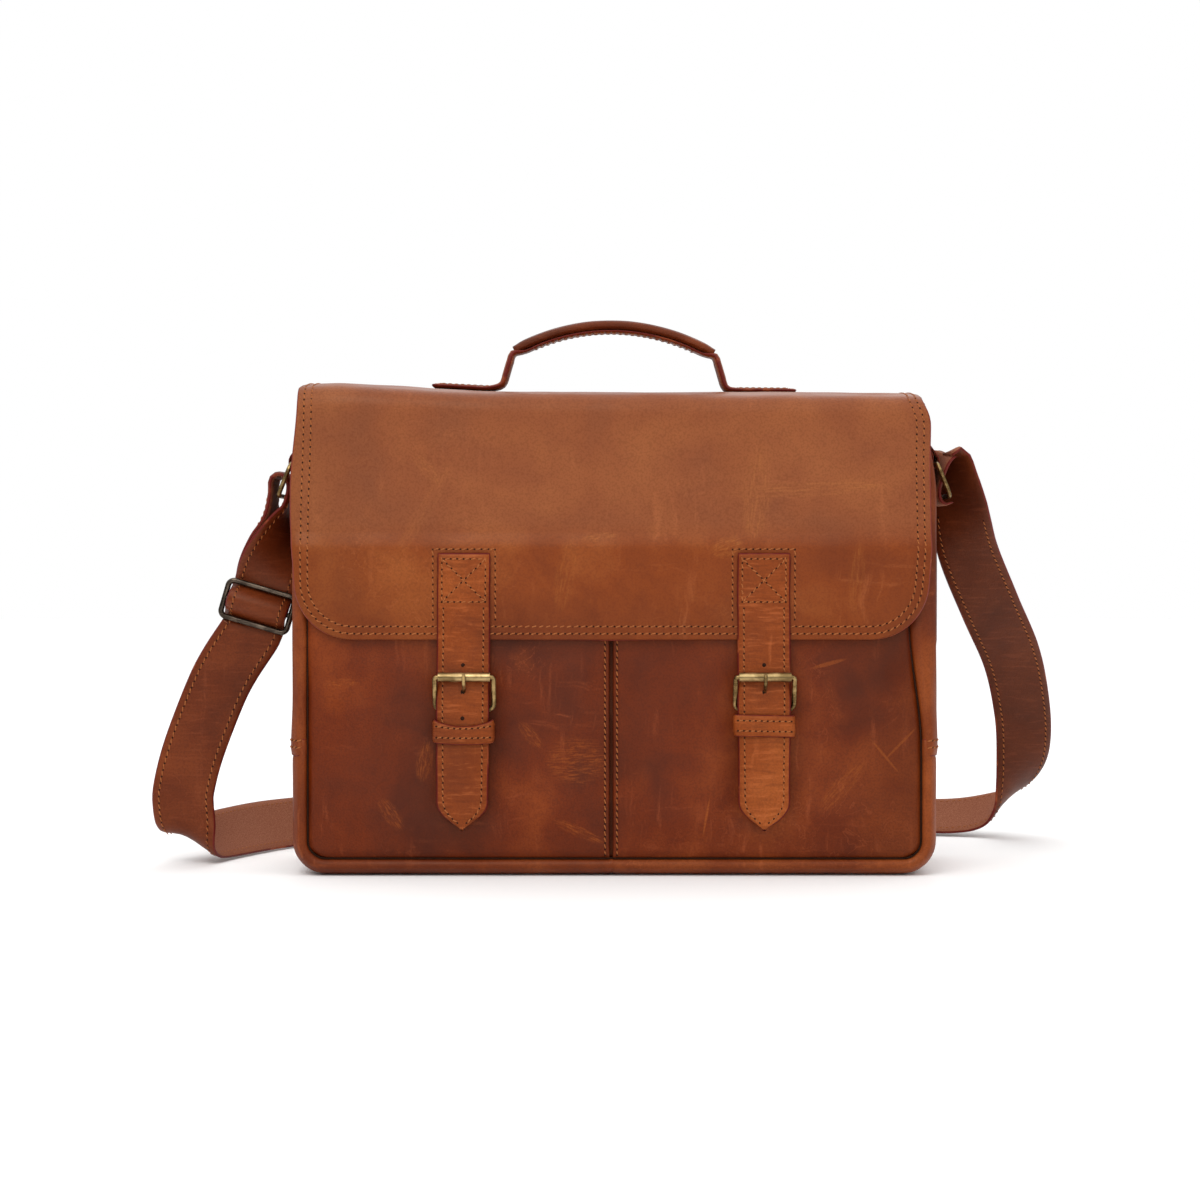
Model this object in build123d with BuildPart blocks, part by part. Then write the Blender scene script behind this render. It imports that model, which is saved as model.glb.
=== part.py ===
"""Leather flap briefcase: gusseted body with two front pockets, flap with two buckled straps,
top handle, and a shoulder strap on two rings with an adjusting slider.

Frame: origin at the middle of the flat base, +X along the length, -Y to the front, +Z up.
"""
import os
from math import cos, hypot, radians, sin, sqrt

from build123d import *

# ---- driving dimensions (mm) ----
LEATHER = 2.2            # panels, gussets and pockets
BODY_W = 404.0           # across the side gussets
BODY_D = 110.0           # front face to back face
GUSSET_TOP = 294.5
EDGE_R = 13.0            # rolled edge between gusset and panels
CORNER_R = 22.0          # lower corners seen from the front
WINDOW_HALF_W = 186.5    # half width of the panels between the rolled edges
WINDOW_BOTTOM = 9.5
WINDOW_CORNER_R = 14.0
SEAM_Z = 78.0            # lap seam between the bottom and side gussets
LAP_T = 1.6
POCKET_DEPTH = 5.3
POCKET_TOP = 205.0
POCKET_GAP = 2.4
LINING = 0.8
BOARD_T = 2.0

FLAP_HALF_W = 194.0
FLAP_HEM_Z = 147.5
FLAP_CORNER_R = 36.0
FLAP_LINING = 1.6
FLAP_T = LEATHER + FLAP_LINING
FLAP_GAP = 0.6           # flap lining to pocket face
CROWN_R = 288.7          # arched top of the flap, side view
CROWN_Z = 16.0           # height of the crown's centre
BEND_R = 14.0            # front top bend
HINGE_REACH = 53.5       # crown length behind the middle
RECESS = 0.9             # hidden stiffeners let into the flap lining

CLOSURE_X = 92.8
CLOSURE_W = 31.0
CLOSURE_T = 3.2
CLOSURE_TOP = 200.0
CLOSURE_TIP = 30.0
CLOSURE_SHOULDER = 49.0
HOLE_R = 1.5
HOLE_PITCH = 16.5
HEEL_Z = 104.2           # buckle heel bar
HEEL_OUT = 6.2           # heel bar centre in front of the pocket face
ROLLER_Z = 124.7
ROLLER_OUT = 13.75
WIRE_R = 1.5
ROLLER_R = 2.9
ROLLER_L = 32.0
RUN_FIT = 0.08           # radial clearance on pins and bars
CHAPE_T = 1.4
CHAPE_W = 26.8
CHAPE_END = 58.0
KEEPER_H = 12.4
KEEPER_T = 2.3
KEEPER_Z_LEFT = 91.0
KEEPER_Z_RIGHT = 94.7
SNAP_Z = 66.0

HANDLE_HALF = 72.5       # leg foot from the middle
HANDLE_AXIS_Z = 311.0
TAB_T = 2.5
GRIP_HALF = 62.0
GRIP_END_Z = 330.0
GRIP_PEAK_Z = 346.0
LEG_W = 22.0
LEG_T = 4.4

RING_BAR_X = 204.9       # tab bar of the side rings
RING_BAR_Z = 258.0
RING_DROP = 22.0         # tab bar to strap bar
RING_LEAN = 22.0         # degrees from straight down
RING_L = 48.0
STRAP_W = 38.0
STRAP_T = 3.6
SLIDER_W = 47.5
SLIDER_H = 27.5
SLIDER_WIRE_R = 1.8
SLIDER_X, SLIDER_Y, SLIDER_Z = -228.6, -6.0, 167.0
SLIDER_TURN = 16.4       # degrees, slider rolled with the strap

POCKET_FACE = -BODY_D / 2
FLAP_FACE = POCKET_FACE - FLAP_GAP - FLAP_T
SIDES = (("left", -1), ("right", 1))


def body_block(inset, top):
    """Solid of the bag's body, every face moved in by inset, open side squared off at top."""
    with BuildPart() as block:
        with BuildSketch(Plane.XZ) as outline:
            with Locations((0, (top + inset) / 2)):
                Rectangle(BODY_W - 2 * inset, top - inset)
            fillet(outline.vertices().group_by(Axis.Z)[0], CORNER_R - inset)
        extrude(amount=BODY_D / 2 - inset, both=True)
        for end in (0, -1):
            rim = block.faces().sort_by(Axis.Y)[end].edges()
            fillet([e for e in rim if e.center().Z < top - 1], EDGE_R - inset)
    return block.part


def window(depth, top):
    """Block that fills the opening between the rolled edges."""
    with BuildPart() as hole:
        with BuildSketch(Plane.XZ) as outline:
            with Locations((0, (top + WINDOW_BOTTOM) / 2)):
                Rectangle(2 * WINDOW_HALF_W, top - WINDOW_BOTTOM)
            fillet(outline.vertices().group_by(Axis.Z)[0], WINDOW_CORNER_R)
        extrude(amount=depth / 2, both=True)
    return hole.part


def slab(x0, x1, y0, y1, z0, z1):
    """Axis-aligned block between two corners."""
    return Solid.make_box(x1 - x0, y1 - y0, z1 - z0, Plane((x0, y0, z0)))


def keep(part, label):
    """Name a finished piece and write its STEP file."""
    part.label = label
    export_step(part, f"parts/{label}.step")


os.makedirs("parts", exist_ok=True)

FAR = 400.0
SHELL_OUT = body_block(0, GUSSET_TOP)
SHELL_IN = body_block(LEATHER, GUSSET_TOP + 10)
WINDOW = window(BODY_D + 10, GUSSET_TOP + 10)

# ---- gussets: one bottom piece lapped inside two side pieces ----
with BuildPart() as gusset_bottom:
    add(SHELL_OUT)
    add(SHELL_IN, mode=Mode.SUBTRACT)
    add(WINDOW, mode=Mode.SUBTRACT)
    add(slab(-FAR, FAR, -FAR, FAR, SEAM_Z, FAR), mode=Mode.SUBTRACT)
    lap_x = BODY_W / 2 - LEATHER
    for sign in (-1, 1):
        with Locations((sign * (lap_x - LAP_T / 2), 0, SEAM_Z)):
            Box(LAP_T, 76, 26)
keep(gusset_bottom.part, "gusset_bottom")

for side, sign in SIDES:
    with BuildPart() as gusset_side:
        add(SHELL_OUT)
        add(SHELL_IN, mode=Mode.SUBTRACT)
        add(WINDOW, mode=Mode.SUBTRACT)
        add(slab(-FAR, FAR, -FAR, FAR, -FAR, SEAM_Z), mode=Mode.SUBTRACT)
        add(slab(*sorted((0, -sign * FAR)), -FAR, FAR, -FAR, FAR), mode=Mode.SUBTRACT)
    keep(gusset_side.part, f"gusset_side_{side}")

# ---- front and back panels ----
POCKET_BACK = POCKET_FACE + LEATHER
PANEL_Y = POCKET_BACK + POCKET_DEPTH
with BuildPart() as front_panel:
    add(SHELL_IN)
    add(slab(-FAR, FAR, PANEL_Y, PANEL_Y + LEATHER, -FAR, 286), mode=Mode.INTERSECT)
keep(front_panel.part, "front_panel")

HINGE_DIST = CROWN_R - FLAP_T / 2
HINGE_Y = HINGE_REACH * HINGE_DIST / CROWN_R
HINGE_Z = CROWN_Z + sqrt(CROWN_R**2 - HINGE_REACH**2) * HINGE_DIST / CROWN_R
with BuildPart() as back_panel:
    add(WINDOW)
    top = HINGE_Z - FLAP_T / 2 - 0.3
    add(slab(-FAR, FAR, BODY_D / 2 - LEATHER, BODY_D / 2, -FAR, top), mode=Mode.INTERSECT)
keep(back_panel.part, "back_panel")

# ---- two front pockets with the edges at the middle turned in ----
for side, sign in SIDES:
    with BuildPart() as pocket_panel:
        add(WINDOW)
        add(slab(-FAR, FAR, POCKET_FACE, POCKET_BACK, -FAR, POCKET_TOP), mode=Mode.INTERSECT)
        near, far = sign * POCKET_GAP / 2, sign * FAR
        add(slab(*sorted((near, far)), -FAR, FAR, -FAR, FAR), mode=Mode.INTERSECT)
        turned = sorted((near, near + sign * LEATHER))
        add(slab(*turned, POCKET_BACK, PANEL_Y, WINDOW_BOTTOM, POCKET_TOP))
        with Locations((sign * CLOSURE_X, POCKET_FACE, SNAP_Z)):
            Cylinder(1.8, 20, rotation=(90, 0, 0), mode=Mode.SUBTRACT)
    keep(pocket_panel.part, f"pocket_panel_{side}")

# ---- inside: base board, lining and padded divider ----
with BuildPart() as base_board:
    with Locations((0, 0, LEATHER + BOARD_T / 2)):
        Box(352, 76, BOARD_T)
    fillet(base_board.edges().filter_by(Axis.Z), 8)
keep(base_board.part, "base_board")

LINING_OUT = BODY_W / 2 - LEATHER - LAP_T
LINING_FLOOR = LEATHER + BOARD_T
LINING_FRONT = PANEL_Y + LEATHER
with BuildPart() as lining_gusset:
    with BuildSketch(Plane.XZ.offset(-LINING_FRONT)) as outline:
        with Locations((0, (286 + LINING_FLOOR) / 2)):
            Rectangle(2 * LINING_OUT, 286 - LINING_FLOOR)
        fillet(outline.vertices().group_by(Axis.Z)[0], 18)
    extrude(amount=-(46 - LINING_FRONT))
    with BuildSketch(Plane.XZ.offset(-LINING_FRONT)) as hollow:
        with Locations((0, (306 + LINING_FLOOR + LINING) / 2)):
            Rectangle(2 * (LINING_OUT - LINING), 306 - LINING_FLOOR - LINING)
        fillet(hollow.vertices().group_by(Axis.Z)[0], 18 - LINING)
    extrude(amount=-(46 - LINING_FRONT), mode=Mode.SUBTRACT)
keep(lining_gusset.part, "lining_gusset")

with BuildPart() as lining_front:
    with BuildSketch(Plane.XZ.offset(-LINING_FRONT)) as outline:
        with Locations((0, (284 + 8) / 2)):
            Rectangle(2 * 190, 284 - 8)
        fillet(outline.vertices().group_by(Axis.Z)[0], 16)
    extrude(amount=-LINING)
keep(lining_front.part, "lining_front")

with BuildPart() as lining_back:
    with BuildSketch(Plane.XZ.offset(-(BODY_D / 2 - LEATHER))) as outline:
        with Locations((0, (294 + 14) / 2)):
            Rectangle(2 * 185, 294 - 14)
        fillet(outline.vertices().group_by(Axis.Z)[0], 16)
    extrude(amount=LINING)
keep(lining_back.part, "lining_back")

DIVIDER_T = 6.0
DIVIDER_Y = 17.0
with BuildPart() as laptop_divider:
    half = LINING_OUT - LINING
    floor = LINING_FLOOR + LINING
    with BuildSketch(Plane.XZ.offset(-(DIVIDER_Y + DIVIDER_T / 2))) as outline:
        with Locations((0, (235 + floor) / 2)):
            Rectangle(2 * half, 235 - floor)
        fillet(outline.vertices().group_by(Axis.Z)[0], 18 - LINING)
    extrude(amount=DIVIDER_T)
    fillet(laptop_divider.edges().group_by(Axis.Z)[-1].filter_by(Axis.X), 2.5)
keep(laptop_divider.part, "laptop_divider")

# ---- flap: outer leather with a rounded hinge hem, lining, and hidden stiffeners ----
BEND_Y = FLAP_FACE + BEND_R
BEND_Z = CROWN_Z + sqrt((CROWN_R - BEND_R) ** 2 - BEND_Y**2)
BEND_START = CROWN_R * BEND_Y / (CROWN_R - BEND_R)


def crown(reach, depth):
    """Point of the flap's arched top, by its outer point's Y and the depth below it."""
    scale = (CROWN_R - depth) / CROWN_R
    return reach * scale, CROWN_Z + sqrt(CROWN_R**2 - reach**2) * scale


def bend(depth):
    """Middle point of the front top bend at a depth below the outer surface."""
    mid_y, mid_z = BEND_START - BEND_Y - BEND_R, crown(BEND_START, 0)[1] - BEND_Z
    scale = (BEND_R - depth) / hypot(mid_y, mid_z)
    return BEND_Y + mid_y * scale, BEND_Z + mid_z * scale


def flap_sheet(outer, inner, round_hem):
    """One layer of the flap between two depths below its outer surface."""
    with BuildPart() as sheet:
        with BuildSketch(Plane.YZ):
            with BuildLine():
                ThreePointArc(crown(HINGE_REACH, outer), crown(0, outer), crown(BEND_START, outer))
                front = FLAP_FACE + outer
                ThreePointArc(crown(BEND_START, outer), bend(outer), (front, BEND_Z))
                back = FLAP_FACE + inner
                Polyline((front, BEND_Z), (front, FLAP_HEM_Z), (back, FLAP_HEM_Z), (back, BEND_Z))
                ThreePointArc((back, BEND_Z), bend(inner), crown(BEND_START, inner))
                ThreePointArc(crown(BEND_START, inner), crown(0, inner), crown(HINGE_REACH, inner))
                if round_hem:
                    Line(crown(HINGE_REACH, inner), crown(HINGE_REACH, FLAP_T))
                    tip_y = HINGE_Y + FLAP_T / 2 * sqrt(1 - (HINGE_REACH / CROWN_R) ** 2)
                    tip_z = HINGE_Z - FLAP_T / 2 * HINGE_REACH / CROWN_R
                    end = crown(HINGE_REACH, FLAP_T)
                    ThreePointArc(end, (tip_y, tip_z), crown(HINGE_REACH, outer))
                else:
                    Line(crown(HINGE_REACH, inner), crown(HINGE_REACH, outer))
            make_face()
        extrude(amount=FLAP_HALF_W, both=True)
        hem = sheet.edges().filter_by(Axis.Y).group_by(Axis.Z)[0]
        fillet(hem, FLAP_CORNER_R)
    return sheet.part


flap_leather = flap_sheet(0, LEATHER, True)
keep(flap_leather, "flap_leather")

PATCH_W, PATCH_TOP, PATCH_BOTTOM = 38.6, 203.5, 158.0
PATCH_BACK = FLAP_FACE + LEATHER + RECESS
BOARD_HALF = 125.0


def flap_patch(sign):
    """Reinforcement behind a closure strap, between the flap's leather and lining."""
    x = sign * CLOSURE_X
    return slab(x - PATCH_W / 2, x + PATCH_W / 2, FLAP_FACE + LEATHER, PATCH_BACK,
                PATCH_BOTTOM, PATCH_TOP)


with BuildPart() as top_board:
    with BuildSketch(Plane.YZ):
        with BuildLine():
            low, high = LEATHER + RECESS, LEATHER
            ThreePointArc(crown(-32, high), crown(0, high), crown(32, high))
            Line(crown(32, high), crown(32, low))
            ThreePointArc(crown(32, low), crown(0, low), crown(-32, low))
            Line(crown(-32, low), crown(-32, high))
        make_face()
    extrude(amount=BOARD_HALF, both=True)
keep(top_board.part, "top_board")

lining_sheet = flap_sheet(LEATHER, FLAP_T, False)
with BuildPart() as flap_lining:
    add(lining_sheet)
    add(top_board.part, mode=Mode.SUBTRACT)
    for side, sign in SIDES:
        add(flap_patch(sign), mode=Mode.SUBTRACT)
keep(flap_lining.part, "flap_lining")

for side, sign in SIDES:
    keep(flap_patch(sign), f"flap_patch_{side}")

# ---- closures: strap, buckle, keeper and the hidden snap behind them ----
STRAP_OUT = HEEL_OUT + WIRE_R + RUN_FIT + CHAPE_T
TAIL_OUT = HEEL_OUT - CHAPE_T
FLAP_OUT = POCKET_FACE - FLAP_FACE
LEAN_L = hypot(ROLLER_OUT - HEEL_OUT, ROLLER_Z - HEEL_Z)
FRAME_HALF = 18.2


def out(distance):
    """Y of a point this far in front of the pocket face."""
    return POCKET_FACE - distance


for side, sign in SIDES:
    x = sign * CLOSURE_X
    heel = (x, out(HEEL_OUT), HEEL_Z)
    with BuildPart() as closure_strap:
        with BuildSketch(Plane.YZ.offset(x)):
            inner = [(FLAP_OUT, CLOSURE_TOP), (FLAP_OUT, 150), (STRAP_OUT, 108),
                     (STRAP_OUT, CLOSURE_TIP)]
            outer = [(u + CLOSURE_T, z) for u, z in reversed(inner)]
            with BuildLine():
                Polyline(*[(out(u), z) for u, z in inner + outer], close=True)
            make_face()
        extrude(amount=CLOSURE_W / 2, both=True)
        with BuildSketch(Plane.XZ) as outline:
            half = CLOSURE_W / 2
            with BuildLine():
                Polyline((x - half, CLOSURE_TOP), (x - half, CLOSURE_SHOULDER), (x - 5, CLOSURE_TIP),
                         (x + 5, CLOSURE_TIP), (x + half, CLOSURE_SHOULDER), (x + half, CLOSURE_TOP),
                         close=True)
            make_face()
        extrude(amount=FAR, both=True, mode=Mode.INTERSECT)
        fillet(closure_strap.edges().filter_by(Axis.Y).group_by(Axis.Z)[0], 4)
        for step in (1, -1):
            with Locations((x, out(STRAP_OUT), 115.5 + step * HOLE_PITCH)):
                Cylinder(HOLE_R, 20, rotation=(90, 0, 0), mode=Mode.SUBTRACT)
        with BuildSketch(Plane.XZ.offset(-out(0))):
            with Locations((x, 114.1)):
                SlotOverall(7.4, 2 * HOLE_R, rotation=90)
        extrude(amount=30, mode=Mode.SUBTRACT)
    keep(closure_strap.part, f"closure_strap_{side}")

    with BuildPart() as buckle_chape:
        with Locations(heel):
            Cylinder(WIRE_R + RUN_FIT + CHAPE_T, CHAPE_W, rotation=(0, 90, 0))
        add(slab(x - CHAPE_W / 2, x + CHAPE_W / 2, out(HEEL_OUT + CHAPE_T), out(TAIL_OUT),
                 CHAPE_END, HEEL_Z))
        with Locations(heel):
            Cylinder(WIRE_R + RUN_FIT, CHAPE_W, rotation=(0, 90, 0), mode=Mode.SUBTRACT)
            Box(4.4, 12, 6.2, mode=Mode.SUBTRACT)
        with Locations((x, out(HEEL_OUT), SNAP_Z)):
            Cylinder(1.5, 8, rotation=(90, 0, 0), mode=Mode.SUBTRACT)
    keep(buckle_chape.part, f"buckle_chape_{side}")

    lean = Plane(origin=heel, x_dir=(1, 0, 0),
                 z_dir=(0, -(ROLLER_Z - HEEL_Z) / LEAN_L, -(ROLLER_OUT - HEEL_OUT) / LEAN_L))
    with BuildPart() as buckle_frame:
        with BuildLine(lean) as loop:
            Polyline((-FRAME_HALF, 0), (FRAME_HALF, 0), (FRAME_HALF, LEAN_L), (-FRAME_HALF, LEAN_L),
                     close=True)
            fillet(loop.vertices().sort_by(Axis.Z)[:2], 4.3)
            fillet(loop.vertices().sort_by(Axis.Z)[-2:], 2.0)
        with BuildSketch(Plane(loop.wires()[0] @ 0, z_dir=loop.wires()[0] % 0)):
            Circle(WIRE_R)
        sweep(path=loop.wires()[0])
    keep(buckle_frame.part, f"buckle_frame_{side}")

    with BuildPart() as buckle_roller:
        with Locations((x, out(ROLLER_OUT), ROLLER_Z)):
            Cylinder(ROLLER_R, ROLLER_L, rotation=(0, 90, 0))
            Cylinder(WIRE_R + RUN_FIT, ROLLER_L, rotation=(0, 90, 0), mode=Mode.SUBTRACT)
    keep(buckle_roller.part, f"buckle_roller_{side}")

    with BuildPart() as buckle_prong:
        with BuildLine(Plane.YZ.offset(x)) as pin:
            FilletPolyline((out(HEEL_OUT), HEEL_Z + 2), (out(6.6), 113), (out(12.6), 116.5),
                           (out(17.5), 120.5), (out(18.6), 126.5), radius=1.6)
        with BuildSketch(Plane(pin.wires()[0] @ 0, z_dir=pin.wires()[0] % 0)):
            Circle(1.1)
        sweep(path=pin.wires()[0])
        with Locations(heel):
            Cylinder(2.6, 3.2, rotation=(0, 90, 0))
            Cylinder(WIRE_R + RUN_FIT, 3.2, rotation=(0, 90, 0), mode=Mode.SUBTRACT)
    keep(buckle_prong.part, f"buckle_prong_{side}")

    with BuildPart() as keeper:
        mid_z = KEEPER_Z_LEFT if side == "left" else KEEPER_Z_RIGHT
        with BuildSketch(Plane.XY.offset(mid_z - KEEPER_H / 2)):
            near, far = out(TAIL_OUT - 0.4), out(STRAP_OUT + CLOSURE_T + 0.45)
            half = CLOSURE_W / 2 + 1.3
            with Locations((x, (near + far) / 2)):
                RectangleRounded(2 * (half + KEEPER_T), near - far + 2 * KEEPER_T, 3)
                RectangleRounded(2 * half, near - far, 1, mode=Mode.SUBTRACT)
        extrude(amount=KEEPER_H)
    keep(keeper.part, f"keeper_{side}")

    with BuildPart() as snap_socket:
        with Locations((x, out(1.3), SNAP_Z)):
            Cylinder(8, 2.6, rotation=(90, 0, 0))
        with Locations((x, out(1.7), SNAP_Z)):
            Cylinder(4.2, 1.8, rotation=(90, 0, 0), mode=Mode.SUBTRACT)
        with Locations((x, out(-1.4), SNAP_Z)):
            Cylinder(1.8, 2.8, rotation=(90, 0, 0))
    keep(snap_socket.part, f"snap_socket_{side}")

    with BuildPart() as snap_washer:
        with Locations((x, out(-LEATHER - 0.3), SNAP_Z)):
            Cylinder(7, 0.6, rotation=(90, 0, 0))
            Cylinder(1.8, 0.6, rotation=(90, 0, 0), mode=Mode.SUBTRACT)
    keep(snap_washer.part, f"snap_washer_{side}")

    with BuildPart() as snap_stud:
        for near, far, radius in ((1.6, 3.3, 2.5), (3.3, TAIL_OUT, 7), (TAIL_OUT, 7.6, 1.5),
                                  (7.6, 8.6, 3)):
            with Locations((x, out((near + far) / 2), SNAP_Z)):
                Cylinder(radius, far - near, rotation=(90, 0, 0))
    keep(snap_stud.part, f"snap_stud_{side}")

# ---- handle: sewn tabs on the flap, legs with an under-strap, core and rolled grip ----
TAB_END = 117.0
GRIP_R = (GRIP_HALF**2 + (GRIP_PEAK_Z - GRIP_END_Z) ** 2) / (2 * (GRIP_PEAK_Z - GRIP_END_Z))
GRIP_C = GRIP_PEAK_Z - GRIP_R


def arch(x, rise):
    """Point of the grip's arch by its middle line's X and the height above that line."""
    scale = (GRIP_R + rise) / GRIP_R
    return x * scale, GRIP_C + sqrt(GRIP_R**2 - x**2) * scale


def arch_band(low, high, half, width, round_r):
    """Band along the arch between two heights, squared or rounded along its length."""
    with BuildPart() as band:
        with BuildSketch(Plane.XZ):
            with BuildLine():
                ThreePointArc(arch(-half, high), arch(0, high), arch(half, high))
                Line(arch(half, high), arch(half, low))
                ThreePointArc(arch(half, low), arch(0, low), arch(-half, low))
                Line(arch(-half, low), arch(-half, high))
            make_face()
        extrude(amount=width / 2, both=True)
        if round_r:
            fillet(band.edges().filter_by(GeomType.CIRCLE), round_r)
    return band.part


for side, sign in SIDES:
    with BuildPart() as handle_tab:
        with BuildSketch(Plane.YZ.offset(sign * (HANDLE_HALF + 2.7))):
            with BuildLine():
                ThreePointArc(crown(-12, -TAB_T), crown(0, -TAB_T), crown(12, -TAB_T))
                Line(crown(12, -TAB_T), crown(12, 0))
                ThreePointArc(crown(12, 0), crown(0, 0), crown(-12, 0))
                Line(crown(-12, 0), crown(-12, -TAB_T))
            make_face()
        extrude(amount=sign * (TAB_END - HANDLE_HALF - 2.7))
        fillet(handle_tab.edges().filter_by(Axis.Z, tolerance=10).sort_by(Axis.X)[::sign][-2:], 5)
    keep(handle_tab.part, f"handle_tab_{side}")

under_strap = arch_band(-3.9, -2.3, GRIP_HALF, 16, 0)
with BuildPart() as handle_strap:
    with BuildSketch(Plane.XZ):
        foot_z = crown(0, 0)[1] + 0.3
        with BuildLine():
            Polyline((HANDLE_HALF - LEG_T / 2, foot_z), (62.0, 324.5), arch(GRIP_HALF, -3.9),
                     arch(GRIP_HALF, 3.9), (66.9, 330.5), (HANDLE_HALF + LEG_T / 2, foot_z),
                     close=True)
        make_face()
        mirror(about=Plane.YZ)
    extrude(amount=LEG_W / 2, both=True)
    with BuildSketch(Plane.YZ):
        with Locations((0, HANDLE_AXIS_Z)):
            Circle(HANDLE_AXIS_Z - foot_z)
        with Locations((0, HANDLE_AXIS_Z - 2.4 + 50)):
            Rectangle(LEG_W, 100)
    extrude(amount=FAR, both=True, mode=Mode.INTERSECT)
    add(under_strap)
keep(handle_strap.part, "handle_strap")

handle_core = arch_band(-0.9, 2.5, 58, 12, 1.5)
keep(handle_core, "handle_core")

grip_body = arch_band(-2.3, 3.9, GRIP_HALF, 18, 2.9)
with BuildPart() as handle_grip:
    add(grip_body)
    add(handle_core, mode=Mode.SUBTRACT)
keep(handle_grip.part, "handle_grip")

# ---- side rings on their sewn tabs ----
RING_HALF = RING_L / 2 - WIRE_R
DROP_X = RING_DROP * sin(radians(RING_LEAN))
DROP_Z = RING_DROP * cos(radians(RING_LEAN))
for side, sign in SIDES:
    bar = (sign * RING_BAR_X, 0, RING_BAR_Z)
    with BuildPart() as ring_tab:
        with Locations(bar):
            Cylinder(RING_BAR_X - BODY_W / 2, 30, rotation=(90, 0, 0))
        add(slab(*sorted((sign * BODY_W / 2, sign * (BODY_W / 2 + 2.6))), -15, 15,
                 RING_BAR_Z, 288))
        with Locations(bar):
            Cylinder(WIRE_R + RUN_FIT, 30, rotation=(90, 0, 0), mode=Mode.SUBTRACT)
    keep(ring_tab.part, f"ring_tab_{side}")

    hang = Plane(origin=bar, x_dir=(0, 1, 0),
                 z_dir=Vector(0, 1, 0).cross(Vector(sign * DROP_X, 0, -DROP_Z)))
    with BuildPart() as ring:
        with BuildLine(hang) as loop:
            Polyline((-RING_HALF, 0), (RING_HALF, 0), (RING_HALF, RING_DROP),
                     (-RING_HALF, RING_DROP), close=True)
            fillet(loop.vertices(), 5)
        with BuildSketch(Plane(loop.wires()[0] @ 0, z_dir=loop.wires()[0] % 0)):
            Circle(WIRE_R)
        sweep(path=loop.wires()[0])
    keep(ring.part, f"ring_{side}")

# ---- shoulder strap: ribbon from the slider's bar, round the left ring, to the right ring ----
TURN = radians(SLIDER_TURN)
ALONG = Vector(sin(TURN), 0, cos(TURN))
ACROSS = Vector(cos(TURN), 0, -sin(TURN))
SLIDER_AT = Vector(SLIDER_X, SLIDER_Y, SLIDER_Z)
BAR_R = 1.6
with BuildPart() as strap_slider:
    flat = Plane(origin=SLIDER_AT, x_dir=ACROSS, z_dir=(0, -1, 0))
    half_w, half_h = SLIDER_W / 2 - SLIDER_WIRE_R, SLIDER_H / 2 - SLIDER_WIRE_R
    with BuildLine(flat) as loop:
        Polyline((-half_w, -half_h), (half_w, -half_h), (half_w, half_h), (-half_w, half_h),
                 close=True)
        fillet(loop.vertices(), 4)
    with BuildSketch(Plane(loop.wires()[0] @ 0, z_dir=loop.wires()[0] % 0)):
        Circle(SLIDER_WIRE_R)
    sweep(path=loop.wires()[0])
    with BuildSketch(Plane(origin=SLIDER_AT - ACROSS * half_w, z_dir=ACROSS)):
        Circle(BAR_R)
    extrude(amount=2 * half_w)
keep(strap_slider.part, "strap_slider")

# Each station: centre of the ribbon, direction of its front or outer edge, thickness.
OUTWARD = -ACROSS
FORWARD = Vector(0, -1, 0)
RING_LOOP_X, RING_LOOP_Z, RING_LOOP_R = 213.2, 246.0, 5.8
SKIVED = 1.6


def at_slider(along, behind):
    """Point beside the slider, by its distance up the strap and behind the slider's plane."""
    return SLIDER_AT + ALONG * along + Vector(0, behind, 0)


def twisting(share, spread):
    """Ribbon between slider and left ring: it turns a quarter as it climbs."""
    angle = radians(90 * min(1.2 * share, 1))
    low = at_slider(16, 6.3)
    high = Vector(-RING_LOOP_X, 0, 240)
    apart = (Vector(0, 1, 0) * cos(angle) + Vector(-1, 0, 0) * sin(angle)) * spread
    edge = OUTWARD * cos(angle) + FORWARD * sin(angle)
    return low + (high - low) * share + apart, edge, STRAP_T


def spread_at(share):
    """Half the distance between the two plies of the left loop."""
    return 1.9 + (RING_LOOP_R - 1.9) * share


stations = [(at_slider(a, b), OUTWARD, SKIVED) for a, b in (
    (0, -3.1), (-2.2, -2.2), (-3.1, 0), (-2.2, 2.2), (0, 3.1), (3.0, 4.1), (8.5, 6.2))]
stations += [(at_slider(12, 8.2), OUTWARD, 2.4)]
stations += [twisting(share, spread_at(share)) for share in (0, 0.2, 0.4, 0.6, 0.8, 1)]
for angle in (180, 145, 110, 70, 35, 0):
    turn_x, turn_z = cos(radians(angle)), sin(radians(angle))
    stations += [(Vector(-RING_LOOP_X + RING_LOOP_R * turn_x, 0, RING_LOOP_Z + RING_LOOP_R * turn_z),
                  FORWARD, STRAP_T)]
stations += [twisting(share, -spread_at(share)) for share in (1, 0.8, 0.6, 0.4, 0.2, 0)]
stations += [(at_slider(a, b), OUTWARD, STRAP_T) for a, b in (
    (12, 4.75), (8.5, 2.6), (4.2, -3.8), (0, -5.7), (-4.2, -3.8), (-8.5, 2.6), (-12, 4.75),
    (-17, 4.0))]
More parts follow.
